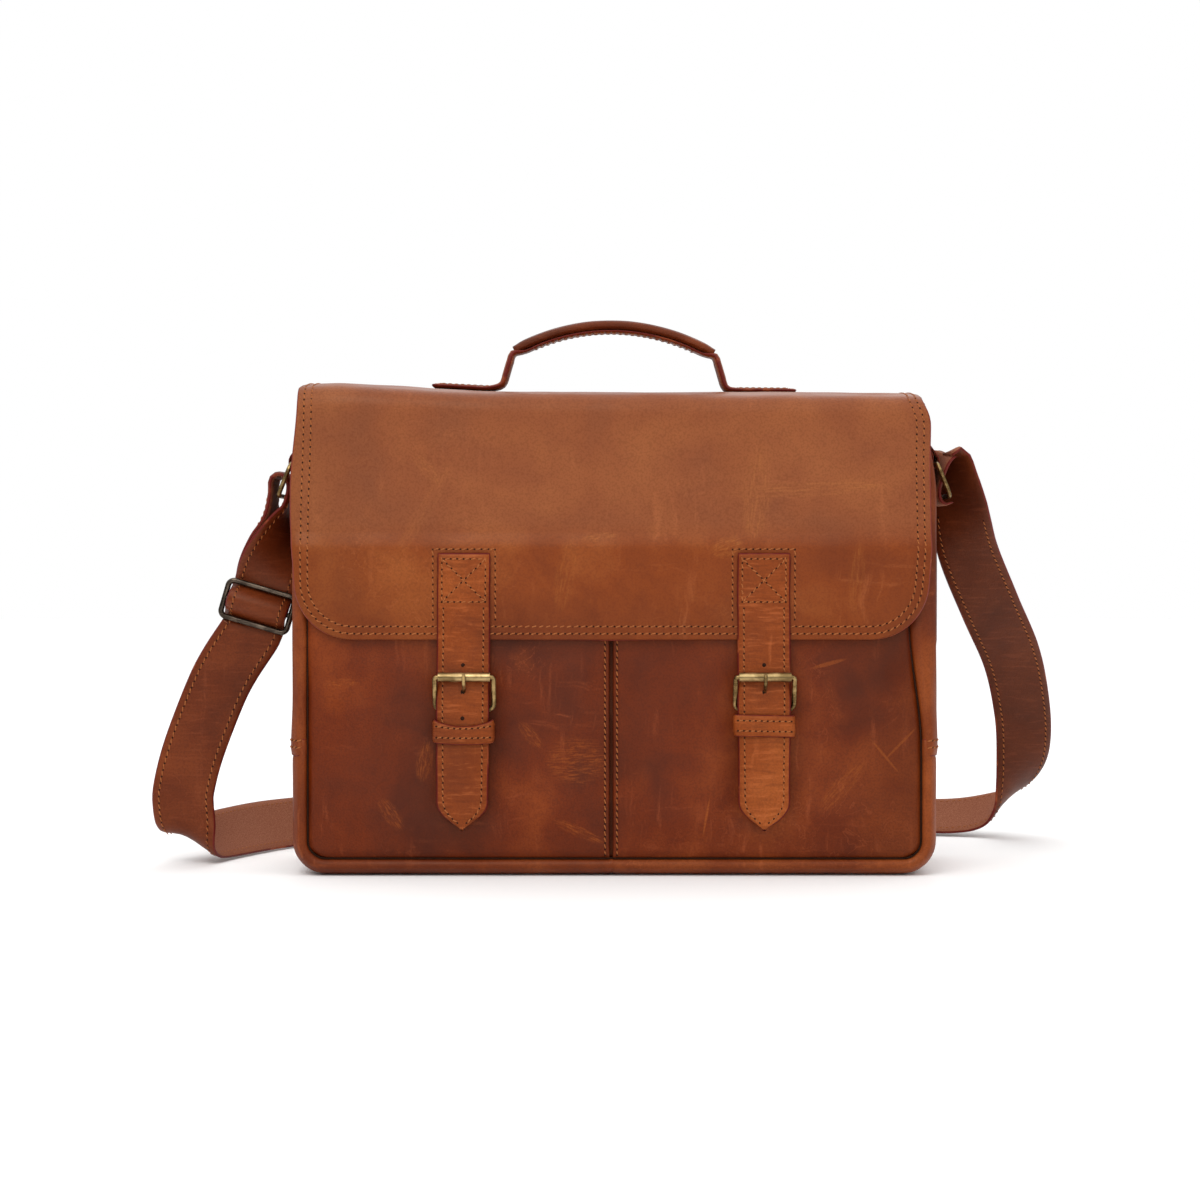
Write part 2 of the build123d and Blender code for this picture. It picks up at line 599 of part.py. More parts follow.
LOWER_RUN = (
    # down to the floor on the left
    ((-247, -2, 130), (-0.92, 0, 0.38)), ((-257, 0, 111), (-0.92, 0, 0.40)),
    ((-271, 1, 75), (-0.97, 0, 0.24)), ((-277.5, 1, 50), (-1, 0, 0.03)),
    ((-278, 1, 38), (-0.98, 0, 0.18)), ((-276.5, 3, 26), (-0.93, 0, 0.36)),
    ((-274, 8, 18), (-0.87, 0.05, 0.49)), ((-270, 18, 14.5), (-0.82, 0.1, 0.56)),
    # along the floor behind the bag, leaning back
    ((-263, 34, 14.5), (-0.76, 0.15, 0.63)), ((-251, 58, 15.5), (-0.68, 0.2, 0.70)),
    ((-232, 92, 16), (-0.6, 0.28, 0.75)), ((-205, 124, 16), (-0.5, 0.42, 0.75)),
    ((-165, 152, 16), (-0.36, 0.56, 0.75)), ((-100, 176, 15.5), (-0.18, 0.67, 0.72)),
    ((-20, 188, 15), (-0.05, 0.73, 0.68)), ((70, 190, 14), (0.02, 0.78, 0.62)),
    ((150, 186, 13), (0.06, 0.83, 0.56)), ((215, 179, 12.5), (0.1, 0.85, 0.52)),
    # up on the right to the arch over the ring
    ((248, 172, 13.5), (0.25, 0.8, 0.55)), ((268, 163, 19), (0.5, 0.62, 0.6)),
    ((280, 152, 30), (0.72, 0.42, 0.55)), ((286, 141, 47), (0.87, 0.2, 0.45)),
    ((287, 130, 68), (0.95, 0.05, 0.3)), ((283, 115, 95), (0.95, 0, 0.3)),
    ((272, 92, 130), (0.94, -0.05, 0.34)), ((252, 62, 166), (0.93, -0.1, 0.36)),
    ((232, 34, 205), (0.85, -0.35, 0.36)), ((228, 14, 234), (0.35, -0.9, 0.15)),
    ((219.5, 3, 252), (0.1, -1, 0.05)), ((217, 0, 262), (0, -1, 0)),
    ((213, 0, 266.5), (0, -1, 0)), ((210.6, 0, 259), (0, -1, 0)), ((208.3, 0, 249), (0, -1, 0)),
    ((206.9, 0, 241), (0, -1, 0)), ((208, 0, 234.6), (0, -1, 0)),
)
stations += [(Vector(*centre), Vector(*edge), STRAP_T) for centre, edge in LOWER_RUN]
stations += [(Vector(211.5, 0, 232.6), FORWARD, 2.4), (Vector(215.2, 0, 233.6), FORWARD, SKIVED)]

with BuildPart() as shoulder_strap:
    for i, (centre, edge, thick) in enumerate(stations):
        before, after = stations[max(i - 1, 0)][0], stations[min(i + 1, len(stations) - 1)][0]
        run = (after - before).normalized()
        across = (edge - run * edge.dot(run)).normalized()
        with BuildSketch(Plane(origin=centre, x_dir=across, z_dir=run)):
            Rectangle(STRAP_W, thick)
    loft(ruled=True)
keep(shoulder_strap.part, "shoulder_strap")
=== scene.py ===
"""Looks of the leather briefcase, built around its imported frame.

Lengths are in millimetres until a mesh is made.
"""
from math import atan2, cos, exp, hypot, pi, radians, sin, sqrt

import bmesh
import bpy
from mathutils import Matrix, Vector, noise


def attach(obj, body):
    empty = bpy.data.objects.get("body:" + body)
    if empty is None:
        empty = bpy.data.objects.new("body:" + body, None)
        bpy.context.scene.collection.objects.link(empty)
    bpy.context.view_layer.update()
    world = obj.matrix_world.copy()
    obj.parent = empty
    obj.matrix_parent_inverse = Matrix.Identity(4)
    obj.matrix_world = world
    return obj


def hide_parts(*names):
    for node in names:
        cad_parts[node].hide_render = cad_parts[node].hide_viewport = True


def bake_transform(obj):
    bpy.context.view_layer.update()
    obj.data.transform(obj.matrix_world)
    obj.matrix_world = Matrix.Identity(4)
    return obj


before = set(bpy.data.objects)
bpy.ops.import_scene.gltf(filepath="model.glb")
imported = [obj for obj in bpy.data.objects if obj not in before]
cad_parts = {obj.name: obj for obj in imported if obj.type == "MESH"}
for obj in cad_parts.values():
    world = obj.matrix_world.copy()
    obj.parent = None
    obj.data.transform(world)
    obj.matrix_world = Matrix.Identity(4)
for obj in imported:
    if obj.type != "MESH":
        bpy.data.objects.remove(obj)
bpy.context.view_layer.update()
MM = 0.001
FLOOR_CLEAR = 0.05
SIDES = (("left", -1), ("right", 1))
FORWARD = Vector((0, -1, 0))

# ---- camera and light ----
LENS_MM, SENSOR_MM = 72.45, 36.0
camera = bpy.data.objects.new("camera", bpy.data.cameras.new("camera"))
camera.data.lens, camera.data.sensor_width = LENS_MM, SENSOR_MM
camera.location = (-0.009, -1.555, 0.200)
camera.rotation_euler = (radians(90 - 1.067), 0, 0)
bpy.context.collection.objects.link(camera)
bpy.context.scene.camera = camera


def area_light(name, place, target, size, power, tint=(1, 1, 1)):
    """Soft square light that faces a target point."""
    data = bpy.data.lights.new(name, "AREA")
    data.shape, data.size, data.energy, data.color = "SQUARE", size, power, tint
    light = bpy.data.objects.new(name, data)
    light.location = place
    light.rotation_euler = (Vector(target) - Vector(place)).to_track_quat("-Z", "Y").to_euler()
    bpy.context.collection.objects.link(light)


BAG = (0, 0, 0.16)
area_light("key", (-0.55, -1.5, 1.75), BAG, 1.1, 15, (1, 0.985, 0.96))
area_light("fill", (1.5, -1.3, 0.9), BAG, 1.4, 3.5)
area_light("front", (0.0, -2.6, 0.55), BAG, 1.6, 8)
area_light("back", (0.2, 1.6, 1.5), BAG, 1.5, 6)
RANGE = ("From Min", "From Max", "To Min", "To Max")
world = bpy.data.worlds.new("studio")
world.use_nodes = True
sky = world.node_tree
split = sky.nodes.new("ShaderNodeSeparateXYZ")
sky.links.new(sky.nodes.new("ShaderNodeTexCoord").outputs["Generated"], split.inputs[0])
height = sky.nodes.new("ShaderNodeMapRange")
sky.links.new(split.outputs[2], height.inputs["Value"])
for key, number in zip(RANGE, (0.0, 0.9, 0.15, 1.5)):
    height.inputs[key].default_value = number
seen = sky.nodes.new("ShaderNodeMix")
sky.links.new(sky.nodes.new("ShaderNodeLightPath").outputs["Is Camera Ray"], seen.inputs[0])
sky.links.new(height.outputs[0], seen.inputs[2])
seen.inputs[3].default_value = 1.0
sky.links.new(seen.outputs[0], sky.nodes["Background"].inputs["Strength"])
sky.nodes["Background"].inputs["Color"].default_value = (1, 1, 1, 1)
bpy.context.scene.world = world
bpy.context.scene.view_settings.view_transform = "Standard"


def ease(value, low, high):
    """Smooth step from 0 at low to 1 at high."""
    t = max(0.0, min(1.0, (value - low) / (high - low)))
    return t * t * (3 - 2 * t)


# ---- materials ----
class Graph:
    """Short calls that build one material's nodes."""

    def __init__(self, name):
        self.mat = bpy.data.materials.new(name)
        self.mat.use_nodes = True
        self.tree = self.mat.node_tree
        self.shader = self.tree.nodes["Principled BSDF"]
        self.where = self.add("ShaderNodeTexCoord").outputs["Object"]

    def add(self, kind, **settings):
        node = self.tree.nodes.new(kind)
        for key, value in settings.items():
            setattr(node, key, value)
        return node

    def put(self, socket, value):
        """Link a socket to another node's output, or set its value."""
        if hasattr(value, "is_output"):
            self.tree.links.new(value, socket)
        elif hasattr(value, "__len__") and len(value) == 3 and len(socket.default_value) == 4:
            socket.default_value = (*value, 1)
        else:
            socket.default_value = value

    def placed(self, kind, at=None, **numbers):
        """Node that reads a place, the object's own unless at is given, with its inputs set."""
        node = self.add(kind)
        self.put(node.inputs["Vector"], at or self.where)
        for key, value in numbers.items():
            node.inputs[key].default_value = value
        return node

    def mapped(self, stretch, turn=(0, 0, 0), at=None):
        return self.placed("ShaderNodeMapping", at, Rotation=turn, Scale=stretch).outputs[0]

    def noise(self, scale, detail=3, distortion=0.0, at=None):
        return self.placed("ShaderNodeTexNoise", at, Scale=scale, Detail=detail,
                           Distortion=distortion).outputs[0]

    def noise_colour(self, scale):
        """Colour output of a noise, to bend coordinates with."""
        return self.noise(scale, 3).node.outputs[1]

    def cells(self, scale):
        return self.placed("ShaderNodeTexVoronoi", Scale=scale).outputs["Distance"]

    def axis(self, number):
        """One coordinate of the place: 0 is x, 2 is z."""
        split = self.add("ShaderNodeSeparateXYZ")
        self.put(split.inputs[0], self.where)
        return split.outputs[number]

    def math(self, operation, a, b=0.0):
        node = self.add("ShaderNodeMath", operation=operation)
        self.put(node.inputs[0], a)
        self.put(node.inputs[1], b)
        return node.outputs[0]

    def times(self, a, b):
        return self.math("MULTIPLY", a, b)

    def fade(self, value, low, high, to_low=0.0, to_high=1.0):
        node = self.add("ShaderNodeMapRange", interpolation_type="SMOOTHSTEP")
        self.put(node.inputs["Value"], value)
        for key, number in zip(RANGE, (low, high, to_low, to_high)):
            node.inputs[key].default_value = number
        return node.outputs[0]

    def ramp(self, value, stops):
        node = self.add("ShaderNodeValToRGB")
        self.put(node.inputs[0], value)
        while len(node.color_ramp.elements) < len(stops):
            node.color_ramp.elements.new(0.5)
        for element, (place, colour) in zip(node.color_ramp.elements, stops):
            element.position, element.color = place, (*colour, 1)
        return node.outputs[0]

    def mix(self, share, a, b, mode="MIX"):
        node = self.add("ShaderNodeMix", data_type="RGBA", blend_type=mode)
        self.put(node.inputs[0], share)
        self.put(node.inputs[6], a)
        self.put(node.inputs[7], b)
        return node.outputs[2]

    def patches(self, places):
        """Streaky rubbed patches: (x, z, half length, half width, degrees, strength) in mm."""
        joined = 0.0
        for x, z, reach, width, turn, strength in places:
            local = self.placed("ShaderNodeMapping", Location=(x * MM, -0.057, z * MM),
                                Rotation=(0, -radians(turn), 0), Scale=(reach * MM, 0.06, width * MM))
            local.vector_type = "TEXTURE"
            ball = self.add("ShaderNodeTexGradient", gradient_type="SPHERICAL")
            self.put(ball.inputs[0], local.outputs[0])
            fill = self.fade(ball.outputs["Fac"], 0.0, 0.45, 0.0, strength)
            if width > 2:
                streak = self.noise(1, 6, 0.8, self.mapped((2.6, 1, 1.7 * width ** 0.8), at=local.outputs[0]))
                fill = self.times(fill, self.fade(streak, 0.40, 0.68, 0.12, 1.0))
            joined = self.math("MAXIMUM", joined, fill)
        return joined

    def painted_shade(self, colour, axis, low, high, share):
        """Painted shade: colour darkened to a share of itself from low to high along one axis."""
        return self.mix(1.0, colour, self.fade(self.axis(axis), low, high, 1.0, share), "MULTIPLY")

    def bump(self, height, strength, distance, normal=None):
        node = self.add("ShaderNodeBump")
        self.put(node.inputs["Height"], height)
        node.inputs["Strength"].default_value = strength
        node.inputs["Distance"].default_value = distance
        if normal:
            self.put(node.inputs["Normal"], normal)
        return node.outputs[0]

    def done(self, colour, rough, normal, metallic=0.0, sheen=0.0):
        self.put(self.shader.inputs["Base Color"], colour)
        self.put(self.shader.inputs["Roughness"], rough)
        self.put(self.shader.inputs["Normal"], normal)
        self.shader.inputs["Metallic"].default_value = metallic
        if not metallic:
            self.shader.inputs["Specular IOR Level"].default_value = 0.24
            self.shader.inputs["Specular Tint"].default_value = (1.0, 0.80, 0.62, 1)
        self.shader.inputs["Sheen Weight"].default_value = sheen
        return self.mat


def leather(name, dark, mid, light, rough=0.46, scuffs=1.0, spread=1.0, ripple=0.0,
            wear=(), painted_shades=(), painted_sheen=None):
    """Waxed pull-up leather: clouded colour, pale hair lines and wrinkles, pebbled grain.

    wear lists rubbed patches; each shade entry paints shade that darkens along an axis; the sheen colour is
    painted sheen, a paler tone high on the flap.
    """
    g = Graph(name)
    broad = g.noise(8.5, 3, 0.7)
    patch = g.noise(30, 5, 0.5)
    cloud = g.math("ADD", g.times(broad, 0.62), g.times(patch, 0.38))
    colour = g.ramp(cloud, [(0.5 - 0.15 * spread, dark), (0.5, mid), (0.5 + 0.17 * spread, light)])
    worn = tuple(min(1, 1.5 * c + 0.015) for c in light)
    deep = tuple(0.6 * c for c in dark)
    bent = g.mix(0.016, g.where, g.noise_colour(22))
    marks = 0.0
    for stretch, turn, mask_scale in (((210, 210, 9), (0, 0.10, 0), 15), ((240, 240, 16), (0, -0.55, 0), 21),
                                      ((12, 230, 230), (0, 0.30, 0), 18)):
        line = g.noise(1, 4, 0.0, g.mapped(stretch, turn, bent))
        line = g.fade(line, 0.56, 0.78)
        here = g.fade(g.noise(mask_scale, 3), 0.46, 0.66)
        marks = g.math("MAXIMUM", g.times(line, here), marks)
    for scale, thin, mask_scale in ((46, 0.012, 10), (105, 0.020, 14)):
        fold = g.math("ABSOLUTE", g.math("SUBTRACT", g.noise(scale, 3, 0.8), 0.5))
        fold = g.fade(fold, 0.0, thin, 1.0, 0.0)
        fold = g.times(fold, g.fade(g.noise(mask_scale, 3, 0.3), 0.54, 0.68))
        marks = g.math("MAXIMUM", marks, g.times(fold, 0.65))
    glow = g.fade(g.noise(14, 4, 0.8), 0.56, 0.74)
    colour = g.mix(g.times(glow, 0.40 * scuffs), colour, light)
    colour = g.mix(g.times(marks, 0.36 * scuffs), colour, worn)
    if wear:
        rubbed = g.patches(wear)
        golden = (1.30 * light[0], 1.55 * light[1], 1.5 * light[2])
        colour = g.mix(g.times(rubbed, 0.62), colour, golden)
        marks = g.math("MAXIMUM", marks, rubbed)
    # painted shade: darker along an axis, where less light falls
    for shade in painted_shades:
        colour = g.painted_shade(colour, *shade)
    # painted sheen: a paler, greyer tone high on the flap, where the light from above reflects
    if painted_sheen:
        colour = g.mix(g.fade(g.axis(2), 0.204, 0.221, 0.0, 0.35), colour, painted_sheen)
    pore = g.cells(820)
    colour = g.mix(g.times(g.fade(pore, 0.45, 0.75), 0.22), colour, deep)
    crease = g.noise(120, 4, 0.5)
    normal = g.bump(pore, 0.16, -0.0003)
    normal = g.bump(crease, 0.20, 0.0010, normal)
    if ripple:
        shaken = g.mix(0.003, g.where, g.noise_colour(70))
        wave = g.noise(1, 4, 0.0, g.mapped((70, 70, 560), (0.0, 0.06, 0), shaken))
        normal = g.bump(wave, 0.40 * ripple, 0.0006, normal)
        colour = g.mix(g.times(g.fade(wave, 0.52, 0.72), 0.30 * ripple), colour, worn)
        colour = g.mix(g.times(g.fade(wave, 0.48, 0.30), 0.30 * ripple), colour, deep)
    normal = g.bump(marks, 0.2, -0.0003, normal)
    shine = g.fade(g.noise(24, 3), 0.35, 0.7, rough - 0.06, rough + 0.10)
    return g.done(colour, shine, normal)


def edge_paint(name, base, worn):
    """Painted cut edge, rubbed through to bare hide in places."""
    g = Graph(name)
    rub = g.fade(g.noise(48, 4, 0.5), 0.56, 0.68)
    fine = g.noise(260, 3)
    colour = g.mix(g.times(rub, 0.65), base, worn)
    colour = g.mix(g.times(g.fade(fine, 0.4, 0.7), 0.35), colour, tuple(0.55 * c for c in base))
    return g.done(colour, 0.5, g.bump(fine, 0.3, 0.0003))


def metal(name, base, dark, rough, seam=None):
    """Antique plated metal with a dark patina, fine brushing and, at height seam, a rolled joint."""
    g = Graph(name)
    patina = g.fade(g.noise(130, 4, 0.5), 0.40, 0.66)
    brushed = g.noise(1, 2, 0.0, g.mapped((90, 1400, 1400)))
    colour = g.mix(patina, dark, base)
    bright = tuple(1.3 * c for c in base)
    colour = g.mix(g.times(g.fade(brushed, 0.45, 0.65), 0.25), colour, bright)
    normal = g.bump(brushed, 0.10, 0.0001)
    if seam is not None:
        off = g.math("ABSOLUTE", g.math("SUBTRACT", g.axis(2), seam))
        gap = g.fade(off, 0.00012, 0.00030, 1.0, 0.0)
        colour = g.mix(gap, colour, (0.02, 0.014, 0.008))
        normal = g.bump(gap, 0.5, -0.0004, normal)
    shine = g.fade(g.noise(210, 3), 0.35, 0.7, rough - 0.08, rough + 0.12)
    return g.done(colour, shine, normal, metallic=1.0)


def woven(name, base, light, pitch):
    """Twill cloth, its threads pitch metres apart."""
    g = Graph(name)
    threads = []
    for turn in ((0, radians(45), 0), (0, radians(-45), 0)):
        wave = g.placed("ShaderNodeTexWave", g.mapped((1, 1, 1), turn), Scale=1 / (pi * pitch),
                        Distortion=0.6)
        threads.append(wave.outputs["Fac"])
    weave = g.times(threads[0], g.fade(threads[1], 0.1, 0.6, 0.45, 1.0))
    colour = g.mix(weave, base, light)
    soiled = g.times(g.fade(g.noise(14, 4), 0.45, 0.7), 0.3)
    colour = g.mix(soiled, colour, tuple(0.6 * c for c in base))
    return g.done(colour, 0.85, g.bump(weave, 0.5, 0.0004), sheen=0.3)


def plain_grain(name, base, dark, scale, rough):
    """Fibrous matt stuff: thread, board, raw flesh side, cord."""
    g = Graph(name)
    fibre = g.noise(scale, 4, 0.4)
    colour = g.mix(g.fade(fibre, 0.35, 0.7), dark, base)
    colour = g.mix(g.times(g.noise(22, 3), 0.35), colour, dark)
    return g.done(colour, rough, g.bump(fibre, 0.5, 0.0004))


# rubbed patches: x, z, half length, half width, degrees, strength
FLAP_WEAR = ((88, 238, 34, 11, 84, 0.8), (120, 241, 62, 6, 3, 0.8), (-116, 253, 14, 5, -50, 0.8),
             (-10, 211, 14, 3, 8, 0.8), (70, 205, 12, 8, 20, 0.8), (-118, 228, 40, 6, 60, 0.4),
             (-30, 190, 30, 8, 80, 0.4), (150, 187, 26, 6, 85, 0.4))
BODY_WEAR = ((168, 75, 16, 0.9, -50, 1), (178, 83, 16, 1, 45, 1), (142, 57, 24, 7, 47, 0.9),
             (57, 37, 14, 0.9, 80, 0.9), (133, 132.5, 13, 1.6, 15, 0.7), (-24, 72, 22, 18, 2, 0.8),
             (-118, 72, 15, 6, 80, 0.9), (-139, 39, 14, 6, -55, 0.7), (-22, 28, 20, 4, -25, 0.9),
             (-170, 120, 13, 4, 5, 0.7), (-52, 88, 12, 5, -50, 0.7))
# flap: painted sheen high on the front, painted shade lower down and towards the left edge
FLAP_HIDE = leather("flap_hide", (0.124, 0.020, 0.003), (0.190, 0.035, 0.004), (0.275, 0.070, 0.013),
                    0.46, 0.8, wear=FLAP_WEAR, painted_sheen=(0.26, 0.098, 0.046),
                    painted_shades=((2, 0.205, 0.150, 0.92), (0, -0.12, -0.185, 0.88)))
# body: painted shade towards the right end, away from the key light
BODY_HIDE = leather("body_hide", (0.062, 0.0075, 0.002), (0.122, 0.0150, 0.001), (0.225, 0.040, 0.005),
                    0.43, 1.0, 1.1, wear=BODY_WEAR, painted_shades=((0, 0.105, 0.185, 0.72),))
STRAP_HIDE = leather("strap_hide", (0.140, 0.023, 0.003), (0.212, 0.039, 0.004), (0.31, 0.073, 0.012),
                     0.50, 0.8, 1.0, 1.0)
# a darker copy of the strap hide as painted shade, with more painted shade towards the right; it also covers
# the ring tabs and the handle grip
SHADED_STRAP_HIDE = leather("shoulder_hide_painted_shade", (0.070, 0.0100, 0.002), (0.112, 0.0175, 0.003),
                        (0.175, 0.034, 0.007), 0.48, 0.7, 1.0, 0.5, painted_shades=((0, 0.16, 0.25, 0.72),))
BAND_HIDE = leather("band_hide", (0.090, 0.0125, 0.003), (0.155, 0.026, 0.004), (0.26, 0.058, 0.011),
                    0.45, 1.1)
PAINT = edge_paint("edge_paint", (0.125, 0.010, 0.008), (0.34, 0.075, 0.02))
PALE_PAINT = edge_paint("edge_paint_pale", (0.20, 0.030, 0.018), (0.38, 0.095, 0.035))
FLESH = plain_grain("flesh_side", (0.34, 0.130, 0.070), (0.23, 0.072, 0.036), 1400, 0.85)
THREAD = plain_grain("thread", (0.43, 0.150, 0.045), (0.25, 0.068, 0.018), 1500, 0.7)
# near-black painted shade that stands for needle holes, punched holes and crevices
HOLE_SHADE = plain_grain("stitch_hole_shade", (0.028, 0.008, 0.004), (0.012, 0.004, 0.002), 600, 0.9)
BRASS = metal("antique_brass", (0.40, 0.275, 0.115), (0.115, 0.070, 0.026), 0.36)
ROLLER = metal("roller_brass", (0.47, 0.335, 0.155), (0.20, 0.13, 0.052), 0.40, seam=0.1245)
BRONZE = metal("slider_bronze", (0.115, 0.088, 0.066), (0.040, 0.030, 0.023), 0.34)
TWILL = woven("lining_twill", (0.20, 0.105, 0.050), (0.33, 0.19, 0.10), 0.0011)
QUILT = woven("divider_twill", (0.12, 0.075, 0.042), (0.20, 0.135, 0.078), 0.0012)
BOARD = plain_grain("fibre_board", (0.36, 0.28, 0.19), (0.26, 0.19, 0.12), 700, 0.9)

HIDE_SET = {"flap": (FLAP_HIDE, FLESH, PALE_PAINT), "body": (BODY_HIDE, FLESH, PAINT),
            "strap": (STRAP_HIDE, FLESH, PAINT), "shoulder": (SHADED_STRAP_HIDE, FLESH, PAINT),
            "band": (BAND_HIDE, FLESH, PAINT), "cloth": (TWILL, TWILL, TWILL)}


# ---- mesh building ----
def finish_mesh(name, verts, faces, marks, mats):
    """Object from vertices in millimetres, with faces turned outwards and smooth shading."""
    mesh = bpy.data.meshes.new(name)
    mesh.from_pydata([(v.x * MM, v.y * MM, max(v.z, FLOOR_CLEAR) * MM) for v in verts], [], faces)
    for mat in mats:
        mesh.materials.append(mat)
    mesh.polygons.foreach_set("material_index", marks)
    work = bmesh.new()
    work.from_mesh(mesh)
    bmesh.ops.recalc_face_normals(work, faces=work.faces)
    work.to_mesh(mesh)
    work.free()
    mesh.polygons.foreach_set("use_smooth", [True] * len(mesh.polygons))
    made = bpy.data.objects.new(name, mesh)
    bpy.context.collection.objects.link(made)
    return made


def grid_normals(grid, wrap, sign):
    """Normal at each point of a grid, from its neighbours."""
    rows, cols = len(grid), len(grid[0])

    def at(i, j):
        return grid[max(0, min(i, rows - 1))][j % cols if wrap else max(0, min(j, cols - 1))]
    normals = []
    for i in range(rows):
        normals.append([((at(i, j + 1) - at(i, j - 1)).cross(at(i + 1, j) - at(i - 1, j))).normalized()
                        * sign for j in range(cols)])
    return normals


def sheet(name, grid, thick, mats, sign=1, wrap=False, bulge=0.28, drop=0.22):
    """Closed shell under a grid of points, with rounded edges: grain, flesh and edge materials."""
    rows, cols = len(grid), len(grid[0])
    normals = grid_normals(grid, wrap, sign)
    thicks = thick if hasattr(thick, "__len__") else [thick] * rows
    verts, faces, marks = [p for row in grid for p in row], [], []
    for i in range(rows):
        verts += [p - n * thicks[i] for p, n in zip(grid[i], normals[i])]
    back = rows * cols
    last = cols if wrap else cols - 1
    for i in range(rows - 1):
        for j in range(last):
            a, b = i * cols + j, i * cols + (j + 1) % cols
            c, d = a + cols, b + cols
            faces += [(a, b, d, c), (back + a, back + c, back + d, back + b)]
            marks += [0, 1]
    if wrap:
        loops = [[(0, j) for j in range(cols)], [(rows - 1, j) for j in range(cols)]]
    else:
        loops = [[(0, j) for j in range(cols)] + [(i, cols - 1) for i in range(1, rows)]
                 + [(rows - 1, j) for j in range(cols - 2, -1, -1)]
                 + [(i, 0) for i in range(rows - 2, 0, -1)]]
    for loop in loops:
        first = len(verts)
        for i, j in loop:
            n, t = normals[i][j], thicks[i]
            inner = grid[max(1, min(i, rows - 2))][j if wrap else max(1, min(j, cols - 2))]
            outward = (grid[i][j] - inner).normalized()
            a = i * cols + j
            verts[a] = verts[a] - n * drop * t
            verts[back + a] = verts[back + a] + n * drop * t
            verts.append(grid[i][j] - n * t / 2 + outward * bulge * t)
        for k in range(len(loop)):
            (i0, j0), (i1, j1) = loop[k], loop[(k + 1) % len(loop)]
            a, b = i0 * cols + j0, i1 * cols + j1
            m, n = first + k, first + (k + 1) % len(loop)
            faces += [(a, b, n, m), (m, n, back + b, back + a)]
            marks += [2, 2]
    return finish_mesh(name, verts, faces, marks, mats)


def tube(name, rings, mats):
    """Closed tube through rings of points, with flat caps in the last material."""
    count = len(rings[0])
    verts = [p for ring in rings for p in ring]
    faces, marks = [], []
    for i in range(len(rings) - 1):
        for j in range(count):
            a, b = i * count + j, i * count + (j + 1) % count
            faces.append((a, b, b + count, a + count))
            marks.append(0)
    faces += [tuple(range(count)), tuple(range(len(verts) - count, len(verts)))]
    marks += [len(mats) - 1] * 2
    return finish_mesh(name, verts, faces, marks, mats)


def smooth_path(stations, step):
    """Stations [(centre, edge direction, width, thickness)] resampled on a Catmull-Rom curve."""
    out = []
    for i in range(len(stations) - 1):
        p = [stations[max(0, min(k, len(stations) - 1))] for k in (i - 1, i, i + 1, i + 2)]
        count = max(1, round((p[2][0] - p[1][0]).length / step))
        for k in range(count + (i == len(stations) - 2)):
            t = k / count
            w = (-t ** 3 + 2 * t * t - t, 3 * t ** 3 - 5 * t * t + 2,
                 -3 * t ** 3 + 4 * t * t + t, t ** 3 - t * t)
            mixed = []
            for part in (0, 1):
                mixed.append(sum((p[m][part] * (w[m] / 2) for m in range(4)), Vector()))
            size = [p[1][m] * (1 - t) + p[2][m] * t for m in (2, 3)]
            out.append((mixed[0], mixed[1].normalized(), *size))
    return out


def ribbon_frames(path):
    """Centre, across direction and grain-side normal at each place along a path."""
    frames = []
    for i, (centre, edge, width, thick) in enumerate(path):
        run = (path[min(i + 1, len(path) - 1)][0] - path[max(i - 1, 0)][0]).normalized()
        across = (edge - run * edge.dot(run)).normalized()
        frames.append((centre, across, run.cross(across), width, thick))
    return frames


def ribbon(name, frames, mats, side=1, columns=9, crown=0.25):
    """Strap along frames. Side 1 puts the grain on the run x across side."""
    grid = []
    for centre, across, normal, width, thick in frames:
        row = []
        for j in range(columns):
            u = -1 + 2 * j / (columns - 1)
            lift = thick / 2 + crown * (1 - u * u) - crown / 2
            row.append(centre + across * (u * width / 2) + normal * side * lift)
        grid.append(row)
    return sheet(name, grid, [f[4] for f in frames], mats, -side)


# rings of one stitch: share of its length, share of its radius, lift in radii
STITCH_FORM = ((-0.5, 0.45, -0.5), (-0.32, 0.95, 0.15), (0, 1.0, 0.38), (0.32, 0.95, 0.15),
               (0.5, 0.45, -0.5))
THREAD_R, NEEDLE_R = 0.40, 0.70


